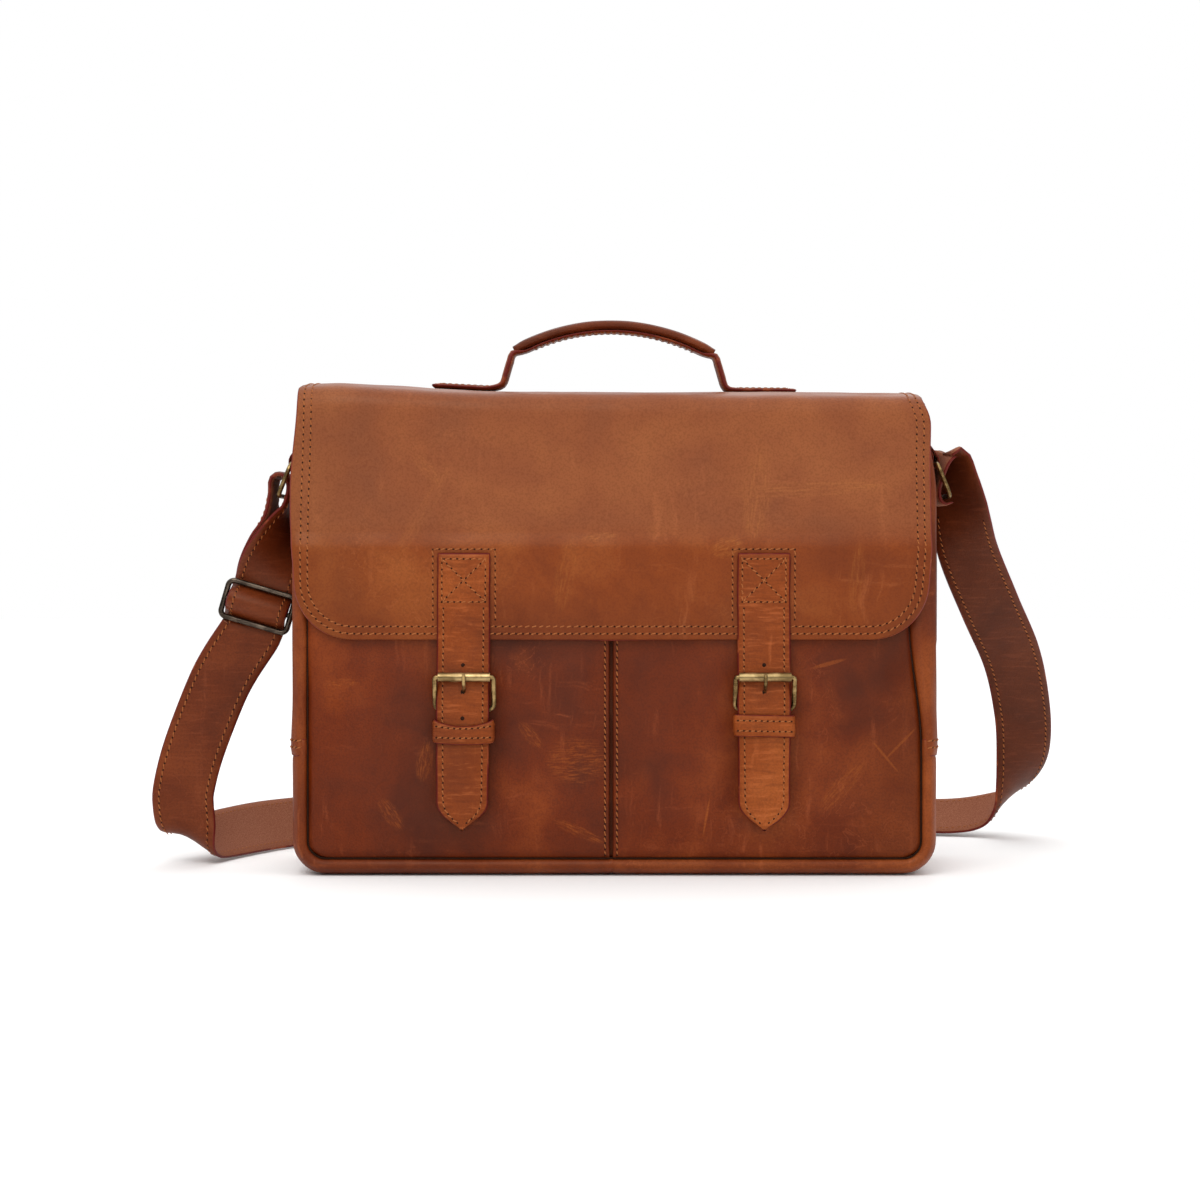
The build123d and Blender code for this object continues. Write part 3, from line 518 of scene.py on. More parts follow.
class Stitching:
    """Thread and needle holes of many seams, made as one piece."""

    def __init__(self):
        self.verts, self.faces, self.marks = [], [], []

    def ring(self, centre, side, normal, radius, first):
        """One six-sided ring, joined to the ring before it unless it is the first."""
        start = len(self.verts)
        for k in range(6):
            a = 2 * pi * k / 6
            self.verts.append(centre + side * radius * cos(a) + normal * radius * 0.8 * sin(a))
        if not first:
            for k in range(6):
                m = (k + 1) % 6
                self.faces.append((start - 6 + k, start - 6 + m, start + m, start + k))
                self.marks.append(0)
        return start

    def thread(self, at, along, normal, length):
        """One stitch: a short spindle that dips at both ends."""
        side = normal.cross(along).normalized()
        for k, (share, size, lift) in enumerate(STITCH_FORM):
            centre = at + along * (share * length) + normal * (lift * THREAD_R)
            start = self.ring(centre, side, normal, THREAD_R * size, k == 0)
            if k in (0, 4):
                self.faces.append(tuple(range(start, start + 6)))
                self.marks.append(0)

    def plug(self, at, reach, lift, normal, levels, count):
        """Dark plug of painted shade that stands for a hole: an ellipse with half axes reach and lift."""
        start = len(self.verts)
        for level in levels:
            for k in range(count):
                a = 2 * pi * k / count
                self.verts.append(at + reach * cos(a) + lift * sin(a) + normal * level)
        for k in range(count):
            m = (k + 1) % count
            self.faces.append((start + k, start + m, start + count + m, start + count + k))
        self.faces += [tuple(range(start, start + count)), tuple(range(start + count, start + 2 * count))]
        self.marks += [1] * (count + 2)

    def hole(self, at, along, normal):
        """Needle hole, a dark plug of painted shade."""
        side = normal.cross(along).normalized()
        self.plug(at, along * NEEDLE_R, side * NEEDLE_R * 0.8, normal, (-0.2, 0.07), 6)

    def row(self, points, normals, pitch=4.35, slant=0.30):
        """Seam along a line on a surface, evenly spaced. One normal can serve for all the points."""
        if isinstance(normals, Vector):
            normals = [normals] * len(points)
        lengths = [0.0]
        for a, b in zip(points, points[1:]):
            lengths.append(lengths[-1] + (b - a).length)
        count = max(1, round(lengths[-1] / pitch))
        pitch = lengths[-1] / count

        def at(distance):
            k = 1
            while k < len(lengths) - 1 and lengths[k] < distance:
                k += 1
            span = max(1e-6, lengths[k] - lengths[k - 1])
            t = (distance - lengths[k - 1]) / span
            return (points[k - 1].lerp(points[k], t), (points[k] - points[k - 1]).normalized(),
                    normals[k - 1].lerp(normals[k], t).normalized())
        for k in range(count + 1):
            p, along, normal = at(k * pitch)
            self.hole(p, along, normal)
            if k == count:
                break
            p, along, normal = at((k + 0.5) * pitch)
            along = (along - normal * along.dot(normal)).normalized()
            turned = along * cos(slant) + normal.cross(along) * sin(slant)
            self.thread(p, turned, normal, pitch * 0.80)

    def made(self, name):
        """The piece, in thread and the dark painted hole-shade material."""
        return finish_mesh(name, self.verts, self.faces, self.marks, [THREAD, HOLE_SHADE])


def settle(piece, body, slot, *nodes):
    """Ride and replacement of one piece; slot is not used."""
    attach(piece, body)
    if nodes:
        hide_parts(*nodes)
    return piece


def wobble(x, y, z):
    """Smooth noise at a place."""
    return noise.noise(Vector((x, y, z)))


def bump_at(value, centre, width):
    """Bell curve, 1 at the centre."""
    return exp(-((value - centre) / width) ** 2)


def around(centre, radius, degrees):
    """Points (x, y) on a circle at the given angles."""
    return [(centre[0] + radius * cos(radians(a)), centre[1] + radius * sin(radians(a))) for a in degrees]


def steps(a, b, size):
    """Evenly spaced numbers from a to b, both included."""
    count = max(1, round(abs(b - a) / size))
    return [a + (b - a) * k / count for k in range(count + 1)]


# ---- gussets ----
HALF_W, BODY_TOP, CORNER = 202.0, 294.5, 22.0
SEAM_Z, MID_SEAM_X = 78.0, -1.6
# the outline runs down the left side, along the floor and up the right side
BAND_L = BODY_TOP - CORNER
ARC_L = pi / 2 * CORNER
FLOOR_L = 2 * (HALF_W - CORNER)
TOTAL_L = 2 * (BAND_L + ARC_L) + FLOOR_L
FLOOR_IN, FLOOR_OUT = BAND_L + ARC_L, TOTAL_L - BAND_L - ARC_L


def outline(s):
    """Point and outward direction on the bag's outline, by the distance from its top left."""
    if s <= BAND_L:
        return -HALF_W, BODY_TOP - s, -1.0, 0.0
    if s <= BAND_L + ARC_L:
        a = (s - BAND_L) / CORNER
        return -HALF_W + CORNER - CORNER * cos(a), CORNER - CORNER * sin(a), -cos(a), -sin(a)
    if s <= BAND_L + ARC_L + FLOOR_L:
        return -HALF_W + CORNER + s - BAND_L - ARC_L, 0.0, 0.0, -1.0
    x, z, nx, nz = outline(2 * (BAND_L + ARC_L) + FLOOR_L - s)
    return -x, z, -nx, nz


# rolled edge: distance in from the outline, distance from the middle plane
SECTION = [(11.0, 49.4), (10.7, 52.6), (9.7, 54.9), (7.9, 55.9), (6.0, 56.0), (4.2, 55.0), (2.6, 53.0),
           (1.2, 49.8), (0.3, 46.4), (0.0, 42.5)]
SECTION_END = SECTION[0][0]


def taper(x, z):
    """How far the side gussets lean inwards towards the top."""
    return 8.0 * ease(z, 212, 296) if x < 0 else 7.0 * ease(z, 236, 292)


def widen(x, z):
    """Width of the rolled edge at the front, as a share of its least: it spreads up the right side."""
    return 1 + (0.75 * ease(z, 78, 165) if x > 150 else 0.0)


def band_point(s, inset, y, lift=0.0):
    """Point of the gusset's outer surface."""
    x, z, nx, nz = outline(s)
    under_flap = ease(z, 118, 146)
    roll = 1.15 if y < 0 else 0.6
    bulge = roll * bump_at(inset, 7.0, 3.5) * (1 - under_flap) - 0.9 * under_flap * (inset > 2)
    if y < 0:
        bulge -= 2.4 * ease(z, 194, 210)
    y_now = y * (abs(y) + bulge - 0.9 * (inset > 2)) / max(abs(y), 1)
    if y < 0:
        inset *= widen(x, z)
    wave = 0.35 * noise.noise(Vector((x, y, z)) * 0.03) + 0.35
    sag = 1.1 * max(0.0, 1 - (y / 44) ** 2) * abs(nx) * ease(z, 20, 120)
    seam = 0.55 * bump_at(x, MID_SEAM_X, 0.9) if z < 40 else 0.0
    d = inset - lift + (wave + sag if inset < 0.5 else 0.0) + seam + taper(x, z) * abs(nx)
    return Vector((x - nx * d, y_now, z - nz * d))


def band_section():
    """Half of the gusset's cross-section on each side of its flat middle, as (inset, y)."""
    front = [(d, -y) for d, y in SECTION]
    flat = [(0.0, y) for y in steps(-38, 38, 6.4)]
    return front + flat + [(d, y) for d, y in reversed(SECTION)]


def gusset(name, places, lift):
    """Strip of gusset. lift(s) raises it where it laps the next strip."""
    grid = []
    for s in places:
        grid.append([band_point(s, d, y, lift(s) * (1 - 0.8 * ease(d, 8, 10.5))) for d, y in band_section()])
    return sheet(name, grid, 2.2, HIDE_SET["band"], 1)


low_start = BODY_TOP - SEAM_Z - 7.0
middle = TOTAL_L / 2 + MID_SEAM_X


def chain(*stops):
    """Places along a line: a start, then pairs of a step size and the place that it leads to."""
    places = [stops[0]]
    for size, end in zip(stops[1::2], stops[2::2]):
        places += steps(places[-1], end, size)[1:]
    return places


floor_places = chain(low_start, 4.0, BAND_L, 2.6, FLOOR_IN, 5.0, middle - 3, 0.6, middle + 3, 5.0,
                     FLOOR_OUT, 2.6, TOTAL_L - BAND_L, 4.0, TOTAL_L - low_start)
bottom = gusset("gusset_bottom_hide", floor_places, lambda s: -1.5 * ease(outline(s)[1], SEAM_Z - 6, SEAM_Z))
settle(bottom, "body", "body_leather", "gusset_bottom")
for side, sign in SIDES:
    reach = steps(0.0, BODY_TOP - SEAM_Z + 2.5, 4.0)
    if sign > 0:
        reach = [TOTAL_L - s for s in reversed(reach)]
    piece = gusset(f"gusset_side_{side}_hide", reach,
                   lambda s: 0.9 * (1 - ease(outline(s)[1], SEAM_Z - 1, SEAM_Z + 30)))
    settle(piece, "body", "body_leather", f"gusset_side_{side}")

# ---- panels ----
WINDOW_X, WINDOW_LOW, WINDOW_R = 191.6, 11.3, 10.7
SEAM_GAP = 0.9           # dark slot between a pocket and the rolled edge
POCKET_Y = -55.0


def window_half(z, x=-1):
    """Half width of the panels at a height: their lower corners are rounded."""
    rise = z - WINDOW_LOW
    if rise >= WINDOW_R:
        return WINDOW_X - (widen(x * 999, z) - 1) * SECTION_END - taper(x, z)
    return WINDOW_X - WINDOW_R + sqrt(max(0.0, WINDOW_R ** 2 - (WINDOW_R - rise) ** 2))


def window_rows(top, size):
    """Heights for a panel's rows, close together in its rounded corners."""
    low = [WINDOW_LOW + WINDOW_R * (1 - cos(a)) for a in steps(0.12, pi / 2, 0.2)]
    return low + steps(low[-1], top, size)[1:]


# painted shade: a dark line in the crevice where the pockets meet the rolled edge
rings = []
for s in steps(BODY_TOP - 165, TOTAL_L - BODY_TOP + 165, 2.5):
    at, after = band_point(s, 11.0, -54.0), band_point(s + 0.5, 11.0, -54.0)
    run = (after - at).normalized()
    aside = run.cross(Vector((0, 1, 0))).normalized()
    rings.append([at + aside * 0.5 * cos(a) + Vector((0, 0.5 * sin(a), 0))
                  for a in steps(0, 2 * pi * 7 / 8, pi / 4)])
settle(tube("pocket_seam_shade_line", rings, [HOLE_SHADE]), "body", "body_leather")

CLOSURE_X = {"left": -93.2, "right": 92.4}
GAP_X = -2.0


def near_closure(x, z):
    """1 behind a closure strap, where nothing may swell."""
    reach = max(1 - ease(abs(x - c), 17, 32) for c in CLOSURE_X.values())
    return reach * ease(z, 22, 42)


def pocket_y(x, z):
    """Front of the pockets: a soft swell with hollows, drawn in at seams and behind the flap."""
    edge = ease(window_half(z, x) - abs(x), 0, 26) * ease(z, WINDOW_LOW, WINDOW_LOW + 30)
    middle = ease(abs(x - GAP_X), 0, 22)
    free = 1 - ease(z, 122, 146)
    swell = (2.6 + 1.7 * wobble(x * 0.016, 3.1, z * 0.02)) * edge * middle * free
    swell += 0.8 * wobble(x * 0.05, 9.7, z * 0.045) * edge * free
    swell *= 1 - 0.75 * near_closure(x, z)
    tuck = 1.8 * (1 - ease(window_half(z, x) - abs(x), 0, 5))
    tuck += 1.8 * (1 - ease(z, WINDOW_LOW, WINDOW_LOW + 5))
    return POCKET_Y - swell + min(tuck, 2.2)


for side, sign in SIDES:
    grid = []
    inner = GAP_X + sign * 1.0
    for z in window_rows(205.0, 4.0):
        reach = max(4.0, sign * (sign * (window_half(z, sign) - SEAM_GAP) - inner))
        row = [Vector((inner + sign * dx, POCKET_Y + back, z)) for dx, back in
               ((0.0, 5.0), (0.0, 2.2), (0.35, 0.8))]
        for u in steps(0.0, 1.0, 1 / 46):
            x = inner + sign * (1.1 + (reach - 1.1) * u)
            row.append(Vector((x, pocket_y(x, z) + 0.25 * (1 - ease(abs(x - inner), 1, 4)), z)))
        grid.append(row)
    piece = sheet(f"pocket_{side}_hide", grid, 2.0, HIDE_SET["body"], sign)
    settle(piece, "body", "body_leather", f"pocket_panel_{side}")


def panel(name, face_y, depth, top, swell):
    """Upright panel between the gussets. depth is signed towards its back."""
    grid = []
    for z in window_rows(top, 6.0):
        row = []
        for u in steps(-1, 1, 1 / 30):
            x = u * (window_half(z) - 0.4)
            full = ease(1 - abs(u), 0, 0.25) * ease(z, 10, 60) * (1 - ease(z, top - 50, top))
            puff = swell * full * (1 + 0.5 * wobble(x * 0.012, face_y, z * 0.014))
            puff += 0.5 * full * wobble(x * 0.05, face_y, z * 0.05)
            row.append(Vector((x, face_y - puff * (1 if depth > 0 else -1), z)))
        grid.append(row)
    return sheet(name, grid, abs(depth), HIDE_SET["band"], 1 if depth > 0 else -1)


for name, face_y, depth, top, swell in (("back_panel", 55.0, -2.2, 294.0, 2.6),
                                        ("front_panel", -47.5, 2.2, 286.0, 0.0)):
    settle(panel(f"{name}_hide", face_y, depth, top, swell), "body", "body_leather", name)

# ---- lining and divider ----
grid = []
for s in chain(8, 8.0, BAND_L, 4.0, FLOOR_IN, 9.0, FLOOR_OUT, 4.0, TOTAL_L - BAND_L, 8.0, TOTAL_L - 8):
    x, z, nx, nz = outline(s)
    row = []
    for y in steps(-44, 45, 5.5):
        d = 4.8 + taper(x, z) * abs(nx) + 0.5 * wobble(x * 0.04, y * 0.05, z * 0.04)
        d += 0.8 * (1 - ease(abs(y), 36, 45)) * abs(nx)
        row.append(Vector((x - nx * d, y, z - nz * d)))
    grid.append(row)
settle(sheet("lining_gusset_cloth", grid, -0.7, HIDE_SET["cloth"], -1), "body", "lining_fabric",
       "lining_gusset")
for name, face_y, top, way in (("lining_front", -44.4, 284.0, 1), ("lining_back", 51.6, 292.0, -1)):
    grid = []
    for z in steps(10, top, 6.0):
        row = []
        for x in steps(-184, 184, 6.0):
            slack = 0.35 * wobble(x * 0.03, face_y, z * 0.04) + 0.35
            row.append(Vector((x, face_y + way * slack, z)))
        grid.append(row)
    settle(sheet(f"{name}_cloth", grid, 0.7, HIDE_SET["cloth"], way * -1), "body", "lining_fabric", name)

rings = []
for z in steps(6.0, 235.0, 5.0):
    edge = min(ease(z, 5, 16), 1 - 0.75 * ease(z, 229, 236))
    half = 195.5 - (18 - sqrt(max(0.0, 18 ** 2 - max(0.0, 18 - (z - 5)) ** 2)) if z < 23 else 0)
    ring = []
    for k in range(96):
        t = 4 * k / 96
        corner, u = int(t), t - int(t)
        x, y = ((-1 + 2 * u, -1), (1, -1 + 2 * u), (1 - 2 * u, 1), (-1, 1 - 2 * u))[corner]
        pinch = 1 - 0.6 * (1 - ease(half - abs(x) * half, 0, 12))
        tuft = 0.6 * max(abs(sin(pi * x * half / 48)), 0.35) + 0.4 * abs(sin(pi * z / 48)) ** 0.6
        ring.append(Vector((x * half, 17.0 + y * 3.1 * edge * pinch * (0.62 + 0.38 * tuft), z)))
    rings.append(ring)
divider = tube("laptop_divider_pad", rings, [QUILT])
settle(divider, "body", "divider_fabric", "laptop_divider")

# ---- flap ----
HEM_Z, HEM_R, FRONT_Y, RIDGE_Z = 147.5, 36.0, -59.4, 203
LEFT_X = -195.8
CROWN_R, CROWN_Z = 288.7, 16.0
BACK_Y, BACK_LOW, BACK_R, FRONT_R = 57.6, 263.0, 9.0, 14.0
back_cy = BACK_Y - BACK_R
back_cz = CROWN_Z + sqrt((CROWN_R - BACK_R) ** 2 - back_cy ** 2)
front_cy = FRONT_Y + FRONT_R
front_cz = CROWN_Z + sqrt((CROWN_R - FRONT_R) ** 2 - front_cy ** 2)
back_a = atan2(back_cz - CROWN_Z, back_cy)
front_a = atan2(front_cz - CROWN_Z, front_cy)
LEGS = [back_cz - BACK_LOW, BACK_R * back_a, CROWN_R * (front_a - back_a), FRONT_R * (pi - front_a),
        front_cz - HEM_Z]
STARTS = [sum(LEGS[:k]) for k in range(6)]
FLAP_L = STARTS[5]


def profile(s):
    """Side-view point of the flap's outer face, by the distance from its back edge."""
    if s < STARTS[1]:
        return BACK_Y, BACK_LOW + s
    if s < STARTS[2]:
        a = (s - STARTS[1]) / BACK_R
        return back_cy + BACK_R * cos(a), back_cz + BACK_R * sin(a)
    if s < STARTS[3]:
        a = back_a + (s - STARTS[2]) / CROWN_R
        return CROWN_R * cos(a), CROWN_Z + CROWN_R * sin(a)
    if s < STARTS[4]:
        a = front_a + (s - STARTS[3]) / FRONT_R
        return front_cy + FRONT_R * cos(a), front_cz + FRONT_R * sin(a)
    return FRONT_Y, front_cz - (s - STARTS[4])


def front_place(z):
    """Distance along the profile at a height of the flap's front."""
    return STARTS[4] + front_cz - z


def crown_lift(x):
    """How far the flap's top stands above the arch: high at its left end, falling to the right."""
    return 4.6 * (1 - ease(x, -175, -50)) - 0.6 * ease(x, -110, 10) - 0.7 * ease(x, 60, 170)


def flap_edges(s):
    """Left and right edge of the flap before its corners are rounded."""
    left = LEFT_X - 5.2 * ease(s, STARTS[4] - 8, STARTS[4] + 48)
    left += 2.6 * ease(s, STARTS[5] - 80, STARTS[5] - 30)
    right = 190.4 + 4.9 * ease(s, STARTS[3] + 4, STARTS[4] + 6)
    right += 1.0 * ease(s, STARTS[4] + 20, STARTS[4] + 80)
    return left, right - 1.6 * ease(s, STARTS[5] - 60, STARTS[5] - 30)


def flap_span(s):
    """Left and right edge with the rounded lower corners."""
    left, right = flap_edges(s)
    rise = FLAP_L - s
    cut = 0.0
    if rise < HEM_R:
        cut = HEM_R - sqrt(max(0.0, HEM_R ** 2 - (HEM_R - rise) ** 2))
    return left + cut, right - cut


def flap_point(s, x):
    """Point of the flap's outer face with its sag, ridge and dents."""
    s = max(0.0, min(s, FLAP_L))
    y, z = profile(s)
    top = ease(s, STARTS[1] * 0.4, STARTS[2] + 10) * (1 - ease(s, STARTS[3] - 4, STARTS[4] + 60))
    z += crown_lift(x) * top
    front = ease(s, STARTS[4] - 6, STARTS[4] + 40)
    left, right = flap_edges(s)
    inside = ease(min(x - left, right - x), 0, 26)
    dent = 1.3 * wobble(x * 0.014, 5.2, s * 0.017)
    dent += 0.55 * wobble(x * 0.04, 1.3, s * 0.045)
    if front > 0:
        above = ease(z, 204, 217) * (1 - 0.5 * ease(z, 250, 286))
        y += front * (3.0 * above - 0.9 * bump_at(z, RIDGE_Z, 7))
        y -= 0.8 * dent * front * inside * ease(z, 150, 175)
        y += 0.8 * front * (1 - ease(min(x - left, right - x), 0, 14))
        y -= 0.5 * front * bump_at(z, 185, 16)
    crown_part = ease(s, STARTS[2], STARTS[2] + 25) * (1 - front)
    z += 0.7 * dent * crown_part * inside
    return Vector((x, y, z))


def flap_normal(s, x):
    """Outward normal of the flap."""
    du = flap_point(s, x + 1) - flap_point(s, x - 1)
    dv = flap_point(min(s + 1, FLAP_L), x) - flap_point(max(s - 1, 0), x)
    return dv.cross(du).normalized()


corner_places = [FLAP_L - HEM_R * (1 - sin(a)) for a in steps(0, pi / 2, 0.11)]
ridge = front_place(RIDGE_Z)
flap_places = chain(0, 4.0, STARTS[1], 1.3, STARTS[2], 3.6, STARTS[3], 2.2, STARTS[4], 3.6, ridge - 12,
                    2.0, ridge + 12, 3.6, FLAP_L - HEM_R)[:-1] + corner_places


def flap_layer(name, depth, thick, mats, margin):
    """One layer of the flap, depth below its outer face and margin short of its edges."""
    grid = []
    for s in flap_places:
        left, right = flap_span(s)
        row = []
        for u in steps(0, 1, 1 / 118):
            x = left + margin + (right - left - 2 * margin) * u
            row.append(flap_point(s, x))
        grid.append(row)
    if depth:
        normals = grid_normals(grid, False, -1)
        grid = [[p - n * depth for p, n in zip(r, m)] for r, m in zip(grid, normals)]
    return sheet(name, grid, thick, mats, -1, bulge=0.34, drop=0.26)


cover = flap_layer("flap_hide", 0.0, 2.25, HIDE_SET["flap"], 0.0)
under = flap_layer("flap_lining_cloth", 2.3, 1.2, HIDE_SET["cloth"], 1.2)
HIDDEN = ["flap_lining", "top_board", "flap_patch_left", "flap_patch_right"]
for piece, slot, nodes in ((cover, "flap_leather", ["flap_leather"]), (under, "lining_fabric", HIDDEN)):
    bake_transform(piece)
    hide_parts(*nodes)

flap_seams, back_seams = Stitching(), Stitching()


def seam_on_flap(stitching, places):
    stitching.row([flap_point(s, x) for s, x in places], [flap_normal(s, x) for s, x in places])


BLEND_CLEAR = STARTS[2] + 4      # the seams start just past the back bend


def sewn_edge(s, pick):
    """Edge that the stitch rows follow: on the left it stays straighter than the flap's own edge."""
    if pick:
        return flap_edges(s)[1]
    return LEFT_X - 2.6 * ease(s, STARTS[4] - 8, STARTS[5] - 70)


for inset in (3.7, 8.2):
    for sign in (-1, 1):
        pick = 0 if sign < 0 else 1
        places = [(s, sewn_edge(s, pick) - sign * inset) for s in steps(BLEND_CLEAR, FLAP_L - HEM_R, 4)]
        edge_x = flap_edges(FLAP_L)[pick]
        for a in steps(0, pi / 2, 0.12):
            places.append((FLAP_L - HEM_R + (HEM_R - inset) * sin(a),
                           edge_x - sign * HEM_R + sign * (HEM_R - inset) * cos(a)))
        places.append((FLAP_L - inset, 0.0))
        seam_on_flap(flap_seams, places)
for inset in (4.0, 8.5):
    seam_on_flap(back_seams, [(inset, x) for x in steps(-188, 182, 5)])
PATCH_HALF, PATCH_TOP, PATCH_LOW = 19.3, 203.6, 160.0    # stitched field round each closure strap
top_s, low_s = front_place(PATCH_TOP), front_place(PATCH_LOW)
for x in CLOSURE_X.values():
    left, right = x - PATCH_HALF, x + PATCH_HALF
    seam_on_flap(flap_seams, [(low_s, left)] + [(s, left) for s in steps(low_s - 3, top_s, 4)]
                 + [(top_s, x + u) for u in steps(-19, 19, 4)] + [(s, right) for s in steps(top_s, low_s, 4)])

# ---- closures ----
X_WAY, HOLE_R = Vector((1, 0, 0)), 1.25
CHAPE_W, CHAPE_T, CHAPE_BEND = 26.8, 1.35, 2.3
KEEPER_HALF, KEEPER_NEAR, KEEPER_FAR, KEEPER_R = 19.1, 56.9, 70.48, 3.4
HEEL_Z, HEEL_OUT, ROLLER_Z = 104.2, 6.2, 124.7
TOP_Z, SHOULDER_Z, TIP_Z, CLOSURE_HALF, CLOSURE_T = 200.3, 49.0, 30.5, 15.6, 3.0


def closure_half(z):
    """Half width of the closure strap at a height, down to its blunt point."""
    if z >= SHOULDER_Z:
        return CLOSURE_HALF - 0.5 * ease(SHOULDER_Z + 60 - z, 0, 60)
    t = (SHOULDER_Z - z) / (SHOULDER_Z - TIP_Z)
    return max(1.4, (CLOSURE_HALF - 0.5) * (1 - (max(0.0, t - 0.1) / 0.9) ** 1.9))


def closure_out(z):
    """Distance of the strap's outer face in front of the pockets."""
    rise = 4.78 * ease(z, 153, 104) if z > 104 else 4.78
    return 4.55 + CLOSURE_T + rise - 0.6 * bump_at(z, ROLLER_Z, 7) + 0.32 * ease(-z, -80, -40)


for side, sign in SIDES:
    x0 = CLOSURE_X[side]
    lean = {"left": 0.012, "right": 0.0}[side]
    seams = Stitching()

    def strap_point(u, z, x0=x0, lean=lean):
        """Point of the closure strap's outer face, u from -1 to 1 across it."""
        half = closure_half(z)
        dome = 0.45 * (1 - u * u)
        dy = 0.25 * wobble(x0 + u * 9, 2.0, z * 0.05)
        follow = 0.0
        if z > 150:
            follow = (flap_point(front_place(z), x0).y - FRONT_Y) * ease(z, 150, 158)
        y = POCKET_Y - closure_out(z) - dome + dy + follow
        return Vector((x0 + u * half + lean * (z - 200) * 0.5, y, z))

    def strap_normal(u, z):
        du = strap_point(u + 0.05, z) - strap_point(u - 0.05, z)
        dv = strap_point(u, z + 0.5) - strap_point(u, z - 0.5)
        return du.cross(dv).normalized()

    heights = chain(TOP_Z, 2.5, SHOULDER_Z, 1.2, TIP_Z + 3, 0.5, TIP_Z)
    grid = [[strap_point(u, z) for u in steps(-1, 1, 1 / 10)] for z in heights]
    strap = sheet(f"closure_strap_{side}_hide", grid, CLOSURE_T, HIDE_SET["strap"], -1, bulge=0.3, drop=0.3)
    settle(strap, "flap", "strap_leather", f"closure_strap_{side}")

    def seam(places, stitching=seams):
        stitching.row([strap_point(u, z) for u, z in places], [strap_normal(u, z) for u, z in places], 4.0)

    def inset(z, mm=3.2):
        """Place across the strap that is some mm inside its edge."""
        return (closure_half(z) - mm) / closure_half(z)
    box_low, box_top, box_u = 171.0, 197.6, 0.86
    seam([(-box_u, z) for z in steps(box_low, box_top, 4)] + [(u, box_top) for u in steps(-box_u, box_u, 0.3)]
         + [(box_u, z) for z in steps(box_top, box_low, 4)])
    seam([(u, box_low) for u in steps(-box_u, box_u, 0.25)])
    for way in (-1, 1):
        seam([(way * u, box_low + (box_top - box_low) * (u / box_u + 1) / 2)
              for u in steps(-box_u, box_u, 0.2)])
        seam([(way * inset(z), z) for z in steps(box_low - 4, SHOULDER_Z, 4)]
             + [(way * inset(z, 3.6), z) for z in steps(SHOULDER_Z - 2, TIP_Z + 4.2, 1.8)])
    settle(seams.made(f"closure_seams_{side}"), "flap", "strap_leather")

    # punched holes as dark plugs of painted shade, with the prong's one drawn long
    holes = Stitching()
    for z, tall in ((132.0, 1.0), (99.3, 1.0), (115.4, 1.35)):
        at, n = strap_point(0, z), strap_normal(0, z)
        holes.plug(at, Vector((HOLE_R, 0, 0)), Vector((0, 0, HOLE_R * tall)), n, (-0.6, 0.10), 16)
    settle(holes.made(f"closure_holes_{side}"), "flap", "strap_leather")

    # buckle chape, folded round the heel bar
    spots = [(POCKET_Y - 5.5, 58), (POCKET_Y - 5.5, 92), (POCKET_Y - 5.4, 99.5)]
    spots += around((POCKET_Y - HEEL_OUT, HEEL_Z), CHAPE_BEND, steps(0, 180, 22.5))
    spots += [(POCKET_Y - 7.3, 92), (POCKET_Y - 7.2, 60)]
    path = [(Vector((x0, y, z)), X_WAY, CHAPE_W, CHAPE_T) for y, z in spots]
    frames = ribbon_frames(smooth_path(path, 2.0))
    chape = ribbon(f"buckle_chape_{side}_hide", frames, HIDE_SET["strap"], 1, 7)
    settle(chape, "flap", "strap_leather", f"buckle_chape_{side}")

    # keeper loop
    mid_z = 91.0 if side == "left" else 94.7
    cx, near, far = KEEPER_HALF - KEEPER_R, KEEPER_NEAR + KEEPER_R, KEEPER_FAR - KEEPER_R
    loop = []
    for corner, a0 in (((cx, near), -90), ((cx, far), 0), ((-cx, far), 90), ((-cx, near), 180)):
        loop += around(corner, KEEPER_R, steps(a0, a0 + 90, 15))
    dense = []
    for k, (px, py) in enumerate(loop):
        qx, qy = loop[(k + 1) % len(loop)]
        count = max(1, round(hypot(qx - px, qy - py) / 2.5))
        dense += [(px + (qx - px) * m / count, py + (qy - py) * m / count) for m in range(count)]

    def keeper_point(px, py, v, side=side, mid_z=mid_z, x0=x0):
        """Point of the keeper's outer face. The left one sags at the front."""
        front = ease(py, 62, 69)
        arc = 1 - (px / 19) ** 2
        smile = (-4.0 * arc if v > 0 else -1.2 * arc) * abs(v) * front if side == "left" else 0
        swell = 0.35 * (1 - v * v) * front + 0.3 * front * arc
        skew = (-0.02 * px if side == "right" else 0.0)
        lift = 0.9 * front if side == "left" and v > 0 else 0
        return Vector((x0 + px, -(py + swell), mid_z + v * (5.4 + 0.9 * front) + smile + skew + lift))
    grid = [[keeper_point(px, py, v) for px, py in dense] for v in steps(-1, 1, 0.25)]
    band = sheet(f"keeper_{side}_hide", grid, 2.2, HIDE_SET["strap"], -1, wrap=True)
    settle(band, f"keeper_{side}", "strap_leather", f"keeper_{side}")
    seams = Stitching()
    for v in (-0.5, 0.5):
        line = [keeper_point(px, KEEPER_FAR, v) + Vector((0, -0.05, 0)) for px in steps(-16.5, 16.5, 3)]
        seams.row(line, FORWARD, 3.6)
    settle(seams.made(f"keeper_seams_{side}"), f"keeper_{side}", "strap_leather")

settle(flap_seams.made("flap_seams"), "flap", "flap_leather")
settle(back_seams.made("back_seams"), "body", "flap_leather")

